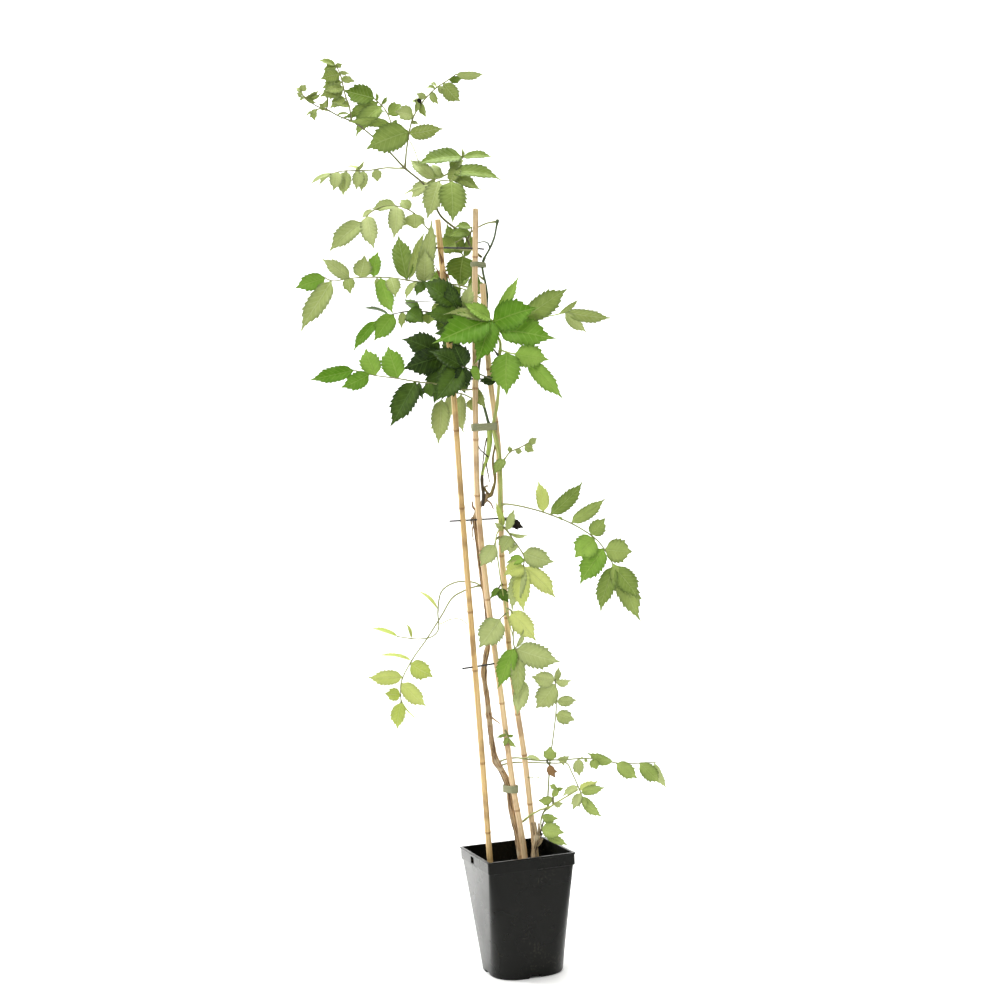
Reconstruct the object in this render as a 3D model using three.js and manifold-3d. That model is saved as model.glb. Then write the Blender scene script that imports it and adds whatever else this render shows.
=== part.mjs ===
// A trumpet vine in a square nursery pot, tied up to three bamboo canes.
// Millimetres, +Z up. The origin is the centre of the pot's underside, and -Y is the front.
import * as THREE from 'three';
import { mergeVertices } from 'three/addons/utils/BufferGeometryUtils.js';
import Module from 'manifold-3d';

const wasm = await Module();
wasm.setup();

// ---------------------------------------------------------------- driving dimensions

const GAP = 0.3;                  // air left between two pieces that touch

const POT_TOP_SIDE = 150;         // outer side of the square rim
const POT_BASE_SIDE = 123;        // outer side just above the floor
const POT_HEIGHT = 195;
const POT_WALL = 2;
const POT_YAW = 19.15;            // degrees the pot is turned about Z
const RIM_CORNER = 5;             // corner radius at the rim
const BASE_CORNER = 45;           // corner radius at the foot
const CORNER_POINTS = 4;          // points round each corner
const COLLAR_HEIGHT = 19;         // plain band below the rim
const COLLAR_PROUD = 1.6;         // how far the band stands out from the wall below
const LIP_HEIGHT = 3;
const LIP_PROUD = 1.2;
const FLOOR_THICKNESS = 3;
const CHANNEL_WIDTH = 21;         // drain channels under the floor
const CHANNEL_HEIGHT = 5;
const DRAIN_DIAMETER = 10;
const LABEL_SLOT_WIDTH = 15;      // slot in the collar of the left face
const LABEL_SLOT_HEIGHT = 11;
const LABEL_SLOT_DROP = 11;       // from the rim to the middle of the slot
const SOIL_TOP = 152;

const CANE_DIAMETER = 10;
const CANE_FOOT = 24;             // height of the canes' lower ends, down in the soil
const WIRE_DIAMETER = 2.2;
const WIRE_SIDES = 3;
const TIE_HEIGHT = 12;
const TIE_THICKNESS = 1.2;
const TIE_POINTS = 10;            // points round a tie
const BLADE = 0.7;                // thickness of a leaflet
const STALK_FOOT = 3.2;           // diameter of a leaf stalk where it springs
const STALK_TIP = 2.4;
const ROOT_LIMIT = 0.93;          // the last leaflets root just inside the stalk's end
const ROOT_OFFSET = 0.55;         // from the stalk's centre line towards the leaflet's tip

// ---------------------------------------------------------------- colours

const finish = (color, roughness) => ({ color, roughness, metalness: 0 });
const POT_BLACK = finish(0x2b2d28, 0.45);
const SOIL_BROWN = finish(0x33271d, 0.95);
const BAMBOO_GOLD = finish(0xb48f4a, 0.5);
const BAMBOO_TAN = finish(0xc19b78, 0.55);
const WIRE_BLACK = finish(0x1c1a18, 0.5);
const TIE_GREY = finish(0x7d8870, 0.6);
const BARK = finish(0x6b4f35, 0.9);
const STEM_GREEN = finish(0x8d9a3d, 0.55);
const LEAF_LIGHT = finish(0x8fb048, 0.5);
const LEAF_LIME = finish(0xa6bd3f, 0.5);
const LEAF_VIVID = finish(0x6a9a25, 0.5);
const LEAF_MIDDLE = finish(0x5c8527, 0.5);
const LEAF_DARK = finish(0x27491a, 0.5);
const LEAF_DEAD = finish(0x2a1d14, 0.8);
const LEAF_BROWN = finish(0x7b5a3c, 0.8);

// ---------------------------------------------------------------- solids and meshes

const plant = new THREE.Group();
const vector = ([x, y, z]) => new THREE.Vector3(x, y, z);

// Turns a closed three.js geometry into a solid that can be joined and cut.
function solid(geometry) {
  const bare = new THREE.BufferGeometry();
  bare.setAttribute('position', geometry.getAttribute('position'));
  if (geometry.index) bare.setIndex(geometry.index);
  const merged = mergeVertices(bare, 1e-4);
  const mesh = new wasm.Mesh({
    numProp: 3,
    vertProperties: Float32Array.from(merged.getAttribute('position').array),
    triVerts: Uint32Array.from(merged.index.array),
  });
  return new wasm.Manifold(mesh);
}

const join = (solids) => solids.reduce((sum, next) => sum.add(next));

// Adds a solid to the plant as one named mesh.
function piece(name, body, look) {
  const mesh = body.getMesh();
  const geometry = new THREE.BufferGeometry();
  geometry.setAttribute('position', new THREE.BufferAttribute(mesh.vertProperties, 3));
  geometry.setIndex(new THREE.BufferAttribute(mesh.triVerts, 1));
  geometry.computeVertexNormals();
  const result = new THREE.Mesh(geometry, new THREE.MeshStandardMaterial(look));
  result.name = name;
  plant.add(result);
}

// A closed geometry from rings of points, each ring as long as the last.
function loft(rings) {
  const sides = rings[0].length;
  const corners = rings.flat().flatMap((p) => [p.x, p.y, p.z]);
  const faces = [];
  for (let ring = 0; ring + 1 < rings.length; ring += 1) {
    for (let side = 0; side < sides; side += 1) {
      const a = ring * sides + side;
      const b = ring * sides + (side + 1) % sides;
      faces.push(a, b, b + sides, a, b + sides, a + sides);
    }
  }
  const last = (rings.length - 1) * sides;
  for (let side = 1; side + 1 < sides; side += 1) {
    faces.push(0, side + 1, side, last, last + side, last + side + 1);
  }
  const geometry = new THREE.BufferGeometry();
  geometry.setAttribute('position', new THREE.Float32BufferAttribute(corners, 3));
  geometry.setIndex(faces);
  return geometry;
}

const routeCurve = (route) => new THREE.CatmullRomCurve3(route.map(vector), false, 'centripetal');

// A round stem along a route, tapering from one diameter to another.
function stem(route, footDiameter, tipDiameter, { sides = 5, steps = route.length - 1, grow = 0 } = {}) {
  const curve = routeCurve(route);
  const frames = curve.computeFrenetFrames(steps, false);
  const rings = [];
  for (let step = 0; step <= steps; step += 1) {
    const along = step / steps;
    const centre = curve.getPointAt(along);
    const radius = (footDiameter + (tipDiameter - footDiameter) * along) / 2 + grow;
    const ring = [];
    for (let side = 0; side < sides; side += 1) {
      const turn = (2 * Math.PI * side) / sides;
      ring.push(centre.clone()
        .addScaledVector(frames.normals[step], Math.cos(turn) * radius)
        .addScaledVector(frames.binormals[step], Math.sin(turn) * radius));
    }
    rings.push(ring);
  }
  return solid(loft(rings));
}

// ---------------------------------------------------------------- leaflets

// Half of a leaflet's toothed outline, as [how far along, share of the half width], and the points
// of its midrib. Longer leaflets show more teeth.
const OUTLINES = [
  { from: 60, edge: [[0.1, 0.72], [0.38, 1.08], [0.46, 0.88], [0.75, 0.64]], rib: [0, 0.43, 1] },
  { from: 36, edge: [[0.13, 0.8], [0.46, 1.1], [0.6, 0.84]], rib: [0, 1] },
  { from: 0, edge: [[0.24, 1.05], [0.62, 0.84]], rib: [0, 1] },
];
const FOLD = 0.32;                // rise of the edges for each mm of half width
const ARCH = 0.09;                // bow of the midrib for each mm of length

// One folded, arched blade from base to tip. Roll 0 turns its face to the front.
function leaflet(base, tip, width, roll) {
  const axis = tip.clone().sub(base);
  const length = axis.length();
  axis.normalize();
  const face = new THREE.Vector3(0, -1, 0);
  face.addScaledVector(axis, -face.dot(axis)).normalize();
  face.applyAxisAngle(axis, THREE.MathUtils.degToRad(roll));
  const across = new THREE.Vector3().crossVectors(axis, face);
  const { edge: outline, rib } = OUTLINES.find(({ from }) => length >= from);
  const place = (along, offset) => base.clone()
    .addScaledVector(axis, along * length)
    .addScaledVector(across, offset)
    .addScaledVector(face, FOLD * Math.abs(offset) + 4 * ARCH * length * along * (1 - along));
  const points = rib.map((along) => place(along, 0));
  const ribCount = rib.length;
  const edgeCount = outline.length;
  for (const side of [-1, 1]) {
    for (const [along, share] of outline) points.push(place(along, (side * share * width) / 2));
  }
  const edgeAlong = [...outline.map(([along]) => along), 1];
  const tipIndex = ribCount - 1;
  const edgeIndex = (sideNumber, k) => (k === edgeCount ? tipIndex : ribCount + sideNumber * edgeCount + k);
  const triangles = [];
  for (const sideNumber of [0, 1]) {
    let ribPoint = 0;
    for (let k = 0; k < edgeCount; k += 1) {
      const from = edgeIndex(sideNumber, k);
      const to = edgeIndex(sideNumber, k + 1);
      triangles.push(sideNumber === 0 ? [ribPoint, to, from] : [ribPoint, from, to]);
      while (ribPoint + 2 < ribCount && edgeAlong[k + 1] >= rib[ribPoint + 1]) {
        triangles.push(sideNumber === 0 ? [ribPoint, ribPoint + 1, to] : [ribPoint, to, ribPoint + 1]);
        ribPoint += 1;
      }
    }
  }
  const rim = [0];
  for (let k = 0; k < edgeCount; k += 1) rim.push(edgeIndex(1, k));
  rim.push(tipIndex);
  for (let k = edgeCount - 1; k >= 0; k -= 1) rim.push(edgeIndex(0, k));
  const count = points.length;
  const lift = face.clone().multiplyScalar(BLADE / 2);
  const corners = [
    ...points.map((p) => p.clone().add(lift)),
    ...points.map((p) => p.clone().sub(lift)),
  ].flatMap((p) => [p.x, p.y, p.z]);
  const faces = [];
  for (const [a, b, c] of triangles) faces.push(a, b, c, a + count, c + count, b + count);
  rim.forEach((a, k) => {
    const b = rim[(k + 1) % rim.length];
    faces.push(a, a + count, b + count, a, b + count, b);
  });
  const geometry = new THREE.BufferGeometry();
  geometry.setAttribute('position', new THREE.Float32BufferAttribute(corners, 3));
  geometry.setIndex(faces);
  return solid(geometry);
}

// ---------------------------------------------------------------- pot and soil

// A square ring with round corners, turned with the pot.
function squareRing(side, corner, z) {
  const ring = [];
  for (const quarter of [0, 1, 2, 3]) {
    const heading = (quarter * Math.PI) / 2;
    const centre = new THREE.Vector2(side / 2 - corner, side / 2 - corner);
    centre.rotateAround(new THREE.Vector2(), heading);
    for (let step = 0; step < CORNER_POINTS; step += 1) {
      const turn = heading + (Math.PI / 2) * (step / (CORNER_POINTS - 1));
      const x = centre.x + corner * Math.cos(turn);
      const y = centre.y + corner * Math.sin(turn);
      ring.push(new THREE.Vector3(x, y, z));
    }
  }
  return ring;
}

const COLLAR_FOOT = POT_HEIGHT - COLLAR_HEIGHT;
const COLLAR_SIDE = POT_TOP_SIDE - 2 * LIP_PROUD;
const WALL_TOP_SIDE = COLLAR_SIDE - 2 * COLLAR_PROUD;
const FOOT_ROUND = 6;             // height of the rounded bottom edge
const FLOOR_TOP = CHANNEL_HEIGHT + FLOOR_THICKNESS;

// Side and corner radius of the tapering wall's outside at a height.
function wallAt(z) {
  const up = (z - FOOT_ROUND) / (COLLAR_FOOT - FOOT_ROUND);
  return {
    side: THREE.MathUtils.lerp(POT_BASE_SIDE, WALL_TOP_SIDE, up),
    corner: THREE.MathUtils.lerp(BASE_CORNER, RIM_CORNER + 2, up),
  };
}

const turnedWithPot = (body) => body.rotate([0, 0, POT_YAW]);

function box(width, depth, height, x, y, z) {
  const geometry = new THREE.BoxGeometry(width, depth, height);
  geometry.translate(x, y, z);
  return solid(geometry);
}

function pot() {
  const foot = wallAt(FOOT_ROUND);
  const middle = wallAt(COLLAR_FOOT / 2);
  const outside = loft([
    squareRing(foot.side - FOOT_ROUND, foot.corner - FOOT_ROUND / 2, 0),
    squareRing(foot.side, foot.corner, FOOT_ROUND),
    squareRing(middle.side, middle.corner, COLLAR_FOOT / 2),
    squareRing(WALL_TOP_SIDE, RIM_CORNER + 2, COLLAR_FOOT - 1),
    squareRing(COLLAR_SIDE, RIM_CORNER, COLLAR_FOOT),
    squareRing(COLLAR_SIDE, RIM_CORNER, POT_HEIGHT - LIP_HEIGHT),
    squareRing(POT_TOP_SIDE, RIM_CORNER, POT_HEIGHT - LIP_HEIGHT + 1),
    squareRing(POT_TOP_SIDE, RIM_CORNER, POT_HEIGHT),
  ]);
  const floor = wallAt(FLOOR_TOP);
  const inside = loft([
    squareRing(floor.side - 2 * POT_WALL, floor.corner - POT_WALL, FLOOR_TOP),
    squareRing(middle.side - 2 * POT_WALL, middle.corner - POT_WALL, COLLAR_FOOT / 2),
    squareRing(WALL_TOP_SIDE - 2 * POT_WALL, RIM_CORNER, COLLAR_FOOT),
    squareRing(WALL_TOP_SIDE - 2 * POT_WALL, RIM_CORNER, POT_HEIGHT + 1),
  ]);
  const cuts = [solid(inside)];
  const channelFoot = 34;         // distance of the channels' inner ends from the middle
  const reach = POT_BASE_SIDE / 2 - channelFoot + 10;
  for (const quarter of [0, 90, 180, 270]) {
    const channel = box(reach, CHANNEL_WIDTH, CHANNEL_HEIGHT * 2, channelFoot + reach / 2, 0, 0);
    const drain = new THREE.CylinderGeometry(DRAIN_DIAMETER / 2, DRAIN_DIAMETER / 2, 4 * FLOOR_TOP, 10);
    drain.rotateX(Math.PI / 2);
    drain.translate(channelFoot + DRAIN_DIAMETER, 0, 0);
    cuts.push(channel.rotate([0, 0, quarter]), solid(drain).rotate([0, 0, quarter]));
  }
  const slotAlong = 10;           // the label slot stands a little off the middle of its face
  cuts.push(box(20, LABEL_SLOT_WIDTH, LABEL_SLOT_HEIGHT, -POT_TOP_SIDE / 2, slotAlong,
    POT_HEIGHT - LABEL_SLOT_DROP));
  return turnedWithPot(solid(outside).subtract(join(cuts)));
}

function soil() {
  const foot = wallAt(FLOOR_TOP);
  const middle = wallAt(COLLAR_FOOT / 2);
  const top = wallAt(SOIL_TOP);
  const inset = 2 * (POT_WALL + GAP + 0.4);
  const block = loft([
    squareRing(foot.side - inset, foot.corner - POT_WALL, FLOOR_TOP + GAP),
    squareRing(middle.side - inset, middle.corner - POT_WALL, COLLAR_FOOT / 2),
    squareRing(top.side - inset, top.corner - POT_WALL, SOIL_TOP),
    squareRing(top.side * 0.5, top.corner, SOIL_TOP + 4),
  ]);
  return turnedWithPot(solid(block));
}

// ---------------------------------------------------------------- canes, wires and ties

// Centre lines from the foot, down in the soil, to the cut top.
const CANES = {
  cane_left: {
    route: [[-40, -28, CANE_FOOT], [-44, -28, 186], [-49, -28, 380], [-60, -28, 737], [-65, -28, 955],
      [-76, -28, 1223]],
    look: BAMBOO_GOLD,
  },
  cane_middle: {
    route: [[20, -8, CANE_FOOT], [11, -8, 203], [-1, -8, 303], [-12, -8, 437], [-20, -8, 529],
      [-26, -8, 598], [-33, -8, 714], [-35, -8, 776], [-33, -8, 859], [-29, -8, 960], [-22, -8, 1108],
      [-14, -8, 1241]],
    look: BAMBOO_TAN,
  },
  cane_right: {
    route: [[42, 4, CANE_FOOT], [28, 4, 224], [20, 4, 349], [12, 4, 423], [4, 4, 527], [2, 4, 619],
      [0, 4, 676], [2, 4, 755], [3, 4, 858], [-5, 4, 970], [-9, 4, 1120]],
    look: BAMBOO_TAN,
  },
};

// Wires run through the canes and keep them spread.
const WIRES = {
  wire_low: [[-73, -39, 498], [-53, -28, 499], [-17, -8, 501], [5, 4, 503], [22, 13, 503]],
  wire_middle: [[-82, -36, 736], [-60, -28, 736], [-34, -8, 736], [2, 4, 736], [14, 8, 736]],
  wire_high: [[-76, -32, 966], [-65.3, -28, 966], [-29, -8, 965], [-5, 4, 964], [7, 10, 963]],
  wire_top: [[-88, -32, 1178], [-74, -28, 1178], [-18.6, -8, 1177], [-3, -2, 1176]],
};
const wire = (route, grow = 0) => stem(route, WIRE_DIAMETER, WIRE_DIAMETER, { sides: WIRE_SIDES, grow });
const cane = (route, grow = 0) => stem(route, CANE_DIAMETER, CANE_DIAMETER, { sides: 8, steps: 7, grow });

// A flat band around two round things, each given as [x, y, radius].
function tie(first, second, z, height = TIE_HEIGHT) {
  const outline = (offset) => {
    const points = [];
    for (let step = 0; step < TIE_POINTS; step += 1) {
      const turn = (2 * Math.PI * step) / TIE_POINTS;
      const reach = ([x, y, radius]) => x * Math.cos(turn) + y * Math.sin(turn) + radius;
      const [x, y, radius] = reach(first) > reach(second) ? first : second;
      const out = (radius + offset) / Math.cos(Math.PI / TIE_POINTS);
      points.push(new THREE.Vector2(x + out * Math.cos(turn), y + out * Math.sin(turn)));
    }
    return points;
  };
  const band = new THREE.Shape(outline(GAP + TIE_THICKNESS));
  band.holes.push(new THREE.Path(outline(GAP)));
  const geometry = new THREE.ExtrudeGeometry(band, { depth: height, bevelEnabled: false });
  geometry.translate(0, 0, z - height / 2);
  return solid(geometry);
}

const TIES = {
  tie_low: tie([0.3, -8, 6], [-9.5, 4, 6.8], 295),
  tie_middle: tie([-32, -8, 5.8], [-2.2, -8, 3.8], 886),
  tie_top: tie([-19.3, -8, 5.8], [-7, 6.2, 3.8], 1151, 8),
};

// ---------------------------------------------------------------- stems

const STEMS = {
  stem_woody: {
    route: [[8, 6, 106], [7, 5, 165], [3, 4.5, 215], [-5, 4.5, 258], [-8.5, 4.5, 296], [-19, 0, 327],
      [-27, -2, 342], [-31, -2, 366], [-34, -2, 410], [-36, -2, 447], [-39, -3, 486], [-34, 0, 513],
      [-30, 3, 530], [-29, 5, 565], [-31, 6, 610], [-36, 5, 650], [-39, 2, 695], [-41, 1, 738],
      [-36, 5, 752], [-26, 7, 764], [-17, 3, 777]],
    foot: 12, tip: 5, look: BARK,
  },
  stem_pruned: {
    route: [[-27, -1.6, 757], [-25, -1.2, 774], [-26, 0, 790], [-26, -1, 805], [-23, -2, 818],
      [-17, -2, 832], [-13, -3.5, 847], [-10.5, -5.5, 860], [-10, -8, 874], [-10, -8, 888],
      [-12.5, -8, 900], [-18, -2, 925], [-26, 4, 951], [-22, 8, 985], [-12, 14, 1040], [-4, 14, 1085],
      [-3, 13, 1112], [-8, 7, 1148], [-5, 5.2, 1160], [6, 4, 1178], [14, 3, 1195], [18, 2, 1211],
      [21, 2, 1224]],
    foot: 5.4, tip: 3.4, look: LEAF_DARK,
  },
  shoot_green: {
    route: [[1, -8.5, 716], [1, -7.5, 742], [2, -6.5, 766], [4, -6.5, 790], [4, -6.5, 815], [4, -7, 839],
      [0, -8, 864], [-3.2, -8, 886], [4, -8, 918], [10, -7, 961], [11, -7, 991], [15, -8, 1022],
      [9, -8, 1036], [6, -8, 1060]],
    foot: 7, tip: 4.4, look: STEM_GREEN,
  },
  shoot_top: {
    route: [[-8, 6, 1164], [-23, 2, 1178], [-35, 1, 1202], [-54, 0, 1217], [-73, 0, 1236],
      [-84, 0, 1268], [-95, 0, 1286], [-126, 0, 1315], [-152, 0, 1345], [-180, 0, 1373], [-202, 0, 1392],
      [-229, 0, 1405], [-247, 0, 1416], [-264, 0, 1423], [-282, 0, 1437]],
    foot: 4.2, tip: 2, look: STEM_GREEN,
  },
  shoot_low: {
    route: [[1, 4, 237], [9, 2, 238], [16, -1, 243], [23, -4, 249], [29, -6, 253], [36, -10, 257],
      [43, -15, 261], [51, -20, 263], [56, -23, 265], [72, -27, 275], [104, -32, 293]],
    foot: 3.4, tip: 2.4, look: STEM_GREEN,
  },
};
const grownStem = (name, grow) => {
  const { route, foot, tip } = STEMS[name];
  return stem(route, foot, tip, { grow });
};

// The pruned stump beside the canes, with its cut spurs.
function rootstock(grow = 0) {
  const spur = (route, foot, tip) => stem(route, foot, tip, { grow });
  return join([
    spur([[30, -13, 112], [27, -13, 166], [28, -13, 192], [31, -13, 205]], 8, 9),
    spur([[29, -13, 198], [32, -13, 208], [34, -13, 220]], 8, 12),
    spur([[30, -12, 213], [28, -10, 227], [27, -10, 239]], 6, 4),
    spur([[33, -15, 215], [33, -17, 230], [32, -17, 241]], 5, 3.4),
    spur([[35, -13, 214], [38, -12, 227], [38, -12, 238]], 4.6, 3),
    spur([[37, -12, 214], [42, -9, 228], [46, -8, 241]], 3.6, 2.4),
    spur([[35, -12, 211], [43, -9, 221]], 5, 4),
    spur([[31, -14, 200], [37, -15, 206], [42, -15, 214]], 4.8, 3.6),
  ]);
}

// Knots and cut side shoots that belong to the woody stem.
const WOODY_SPURS = [
  [[[-36, -2, 420], [-28, -4, 411], [-16, -6, 402]], 3.4, 2],
  [[[-26, -2, 339], [-22, -8, 330], [-17, -12, 325]], 6, 4],
  [[[-38, 2, 742], [-46, 0, 738], [-47, 0, 728]], 4, 3],
  [[[-19, 4, 772], [-13, 0, 775], [-9, -3, 784], [-5, -4, 797], [-5, -4, 809], [-7, -4, 824],
    [-6, -3, 837], [-3, -3, 850], [0, -3, 862]], 5, 3.6],
];

// Where the pruned stem breaks into leaf it is twice as stout.
const STOUT_SHOOT = [
  [[-20, -2, 826], [-14, -3, 842], [-10.5, -5.5, 860], [-10, -8, 876], [-10, -8, 890]], 5, 7,
];

// Each leaflet is [how far along the stalk, tip x, tip y, tip z, width, roll].
const FRONDS = [
  {
    name: 'frond_crest', on: ['shoot_top'], look: LEAF_LIGHT,
    route: [[-209, -1, 1396], [-212, -2, 1422], [-216, -4, 1434], [-220, -6, 1455], [-223, -6, 1471],
      [-230, -5, 1488]],
    leaflets: [
      [1, -258, -12, 1495, 10, 25],
      [0.75, -198, -14, 1456, 10, 20], [0.96, -253, 2, 1473, 14, 20], [0.82, -256, -14, 1463, 18, -10],
      [0.68, -255, 2, 1452, 18, 15], [0.56, -259, -16, 1435, 19, -15], [0.4, -244, 4, 1418, 17, 20],
    ],
  },
  {
    name: 'frond_tip', on: ['shoot_top'], look: LEAF_LIME,
    route: [[-278, 0, 1434], [-286, -3, 1441], [-289, -4, 1450]],
    leaflets: [
      [0.9, -283, -8, 1457, 7, 10], [0.8, -297, -2, 1454, 8, 20],
      [0.3, -258, -6, 1448, 9, 60],
    ],
  },
  {
    name: 'frond_hook', on: ['shoot_top'], look: LEAF_LIGHT,
    route: [[-247, 0, 1416], [-255, -6, 1417], [-263, -9, 1416], [-270, -10, 1412]],
    leaflets: [
      [0.95, -283, -8, 1404, 8, 50], [0.9, -268, -16, 1395, 9, 10],
      [0.35, -247, -16, 1430, 6, 30],
    ],
  },
  {
    name: 'frond_fan', on: ['shoot_top'], look: LEAF_MIDDLE,
    route: [[-152, 1, 1345], [-147, 10, 1372], [-147, 14, 1398], [-156, 14, 1418], [-171, 12, 1434]],
    leaflets: [
      [1, -222, 12, 1450, 28, 10], [0.92, -220, 20, 1405, 19, -10], [0.84, -207, 8, 1370, 26, 15],
      [0.66, -128, 24, 1426, 19, 15], [0.86, -150, 22, 1438, 6, 40],
      [0.5, -135, 24, 1392, 13, 30], [0.72, -236, 26, 1405, 10, 20], [0.5, -220, -2, 1396, 13, -20],
      [0.36, -174, 0, 1368, 17, 10],
    ],
  },
  {
    name: 'frond_arching', on: ['shoot_top'], look: LEAF_LIGHT,
    route: [[-126, 0, 1315], [-121, -10, 1345], [-115, -16, 1371], [-108, -18, 1392], [-90, -16, 1419],
      [-67, -12, 1441], [-50, -8, 1452], [-34, -6, 1463]],
    leaflets: [
      [1, 14, -6, 1461, 12, 30], [0.86, -30, 4, 1418, 22, 5],
      [0.72, -65, -24, 1409, 11, 25], [0.6, -87, -8, 1394, 12, 40],
      [0.32, -190, -14, 1347, 37, -5], [0.3, -56, -30, 1372, 20, 20], [0.46, -137, -26, 1401, 22, 15],
      [0.5, -102, -32, 1418, 10, 40],
    ],
  },
  {
    name: 'frond_hanging', on: ['shoot_top'], look: LEAF_LIGHT,
    route: [[-126, 0, 1315], [-141, 12, 1318], [-158, 20, 1321], [-186, 28, 1320], [-207, 32, 1321],
      [-232, 34, 1322], [-252, 34, 1318]],
    leaflets: [
      [1, -287, 38, 1303, 9, 40], [0.4, -174, 28, 1300, 15, 15], [0.58, -201, 36, 1286, 17, 10],
      [0.64, -210, 24, 1287, 17, -15], [0.8, -233, 40, 1281, 20, 5], [0.9, -247, 28, 1288, 19, 10],
      [0.97, -273, 44, 1301, 11, 45],
    ],
  },
  {
    name: 'frond_upper_right', on: ['shoot_top'], look: LEAF_LIGHT,
    route: [[-95, 0, 1286], [-85, 14, 1295], [-69, 24, 1302], [-50, 30, 1312], [-36, 34, 1326],
      [-31, 36, 1337]],
    leaflets: [
      [1, -110, 16, 1321, 32, 35], [0.99, 22, 32, 1331, 15, -30],
      [0.62, 36, 26, 1291, 24, -30], [0.55, -2, 42, 1277, 19, -20], [0.8, -56, 20, 1286, 18, 10],
      [0.3, -122, 34, 1335, 19, 10], [0.12, -120, 26, 1269, 19, 20],
    ],
  },
  {
    name: 'frond_upper_front', on: ['shoot_top'], look: LEAF_LIGHT,
    route: [[-91, 0, 1278], [-83, -12, 1283], [-69, -22, 1287], [-50, -28, 1285]],
    leaflets: [
      [1, -53, -32, 1215, 37, -5], [0.6, -93, -30, 1222, 28, 10], [0.3, -136, -14, 1266, 5, 40],
    ],
  },
  {
    name: 'frond_upper_left', on: ['shoot_top'], look: LEAF_LIGHT,
    route: [[-23, 2, 1178], [-36, 12, 1178], [-60, 22, 1188], [-94, 20, 1217], [-114, 14, 1242],
      [-135, 12, 1254], [-162, 8, 1256], [-185, 4, 1247], [-201, 0, 1229]],
    leaflets: [
      [1, -258, -6, 1182, 26, 5], [0.94, -183, -10, 1181, 24, 10],
      [0.7, -186, 14, 1252, 21, 35], [0.88, -203, 16, 1238, 11, 40], [0.7, -149, -8, 1197, 24, -15],
      [0.56, -115, 22, 1218, 29, 5], [0.6, -136, 24, 1269, 16, 20],
    ],
  },
  {
    name: 'leaf_bent', on: ['shoot_top'], look: LEAF_MIDDLE,
    route: [[-30, 1, 1194], [-24, -6, 1203], [-22, -12, 1212]],
    leaflets: [[0.95, -50, -20, 1212, 15, 40], [0.6, -62, -12, 1196, 16, 20]],
  },
  {
    name: 'frond_crown', on: ['stem_pruned'], look: LEAF_MIDDLE,
    route: [[-6, 12, 1128], [-20, 22, 1142], [-32, 28, 1158], [-42, 30, 1178]],
    leaflets: [
      [0.95, -66, 34, 1228, 24, 0], [0.9, -46, 30, 1122, 40, 0],
      [0.3, -23, 36, 1100, 18, 25], [0.85, -24, 34, 1212, 14, 40],
    ],
  },
  {
    name: 'frond_crown_top', on: ['stem_pruned'], look: LEAF_MIDDLE,
    route: [[20, 3, 1221], [2, 12, 1220], [-18, 18, 1212], [-36, 20, 1200], [-50, 18, 1192]],
    leaflets: [[1, -80, 12, 1178, 26, 5]],
  },
  {
    name: 'frond_crown_back', on: ['stem_pruned'], look: LEAF_MIDDLE,
    route: [[-4, 14, 1092], [-18, 34, 1104], [-34, 52, 1116], [-52, 68, 1126], [-66, 82, 1134]],
    leaflets: [
      [1, -104, 102, 1150, 22, 10], [0.75, -40, 92, 1168, 20, 20], [0.7, -92, 66, 1098, 22, -15],
      [0.45, -8, 72, 1132, 18, 30], [0.42, -46, 62, 1074, 20, -20],
    ],
  },
  {
    name: 'frond_side_left', on: ['stem_pruned'], look: LEAF_LIGHT,
    route: [[-3, 13, 1106], [-14, 15, 1110], [-26, 5, 1113], [-45, -2, 1119], [-113, -12, 1127],
      [-165, -18, 1136], [-220, -22, 1137], [-252, -24, 1134], [-267, -26, 1142]],
    leaflets: [
      [0.99, -313, -36, 1122, 23, -10], [0.95, -309, -34, 1050, 28, 5], [0.84, -267, -34, 1171, 20, 10],
      [0.78, -195, -38, 1172, 25, 15], [0.7, -175, -28, 1179, 19, -10], [0.85, -223, -38, 1108, 17, 5],
      [0.41, -82, -58, 1225, 22, 0], [0.4, -98, -52, 1178, 26, 15], [0.5, -145, 6, 1209, 27, 5],
      [0.6, -149, -38, 1098, 20, -10], [0.66, -157, -2, 1076, 23, 15], [0.4, -118, -34, 1100, 16, 10],
    ],
  },
  {
    name: 'frond_mid_left', on: ['stem_pruned'], look: LEAF_DARK,
    route: [[-13, 13, 1036], [-30, 22, 1052], [-60, 26, 1068], [-95, 26, 1080], [-130, 24, 1084],
      [-160, 22, 1080], [-188, 20, 1070]],
    leaflets: [
      [1, -229, 14, 1020, 16, 5], [0.84, -193, 22, 1036, 26, -5], [0.76, -146, 12, 1054, 11, 10],
      [0.72, -108, 6, 1060, 26, 0], [0.4, -76, 36, 1044, 24, -10],
      [0.5, -66, 14, 1098, 22, 30], [0.62, -140, 36, 1106, 16, 40],
      [0.55, -101, 34, 1062, 20, 10],
    ],
  },
  {
    name: 'frond_dark_upper', on: ['shoot_green'], look: LEAF_DARK,
    route: [[11, -8, 1000], [2, -20, 1012], [-14, -28, 1022], [-34, -36, 1040], [-46, -38, 1062],
      [-50, -38, 1088]],
    leaflets: [
      [1, -110, -50, 1123, 34, 10], [0.8, -104, -46, 1071, 28, 10], [0.8, -27, -34, 1121, 18, 15],
      [0.62, -92, -44, 1040, 30, -20], [0.9, -62, -62, 1120, 24, -30], [0.8, -75, -44, 1067, 13, 20],
    ],
  },
  {
    name: 'frond_dark_lower', on: ['stem_pruned'], look: LEAF_DARK,
    route: [[-24, 6, 968], [-34, 10, 972], [-52, 8, 985], [-68, 2, 1000], [-82, -8, 1010]],
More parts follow.
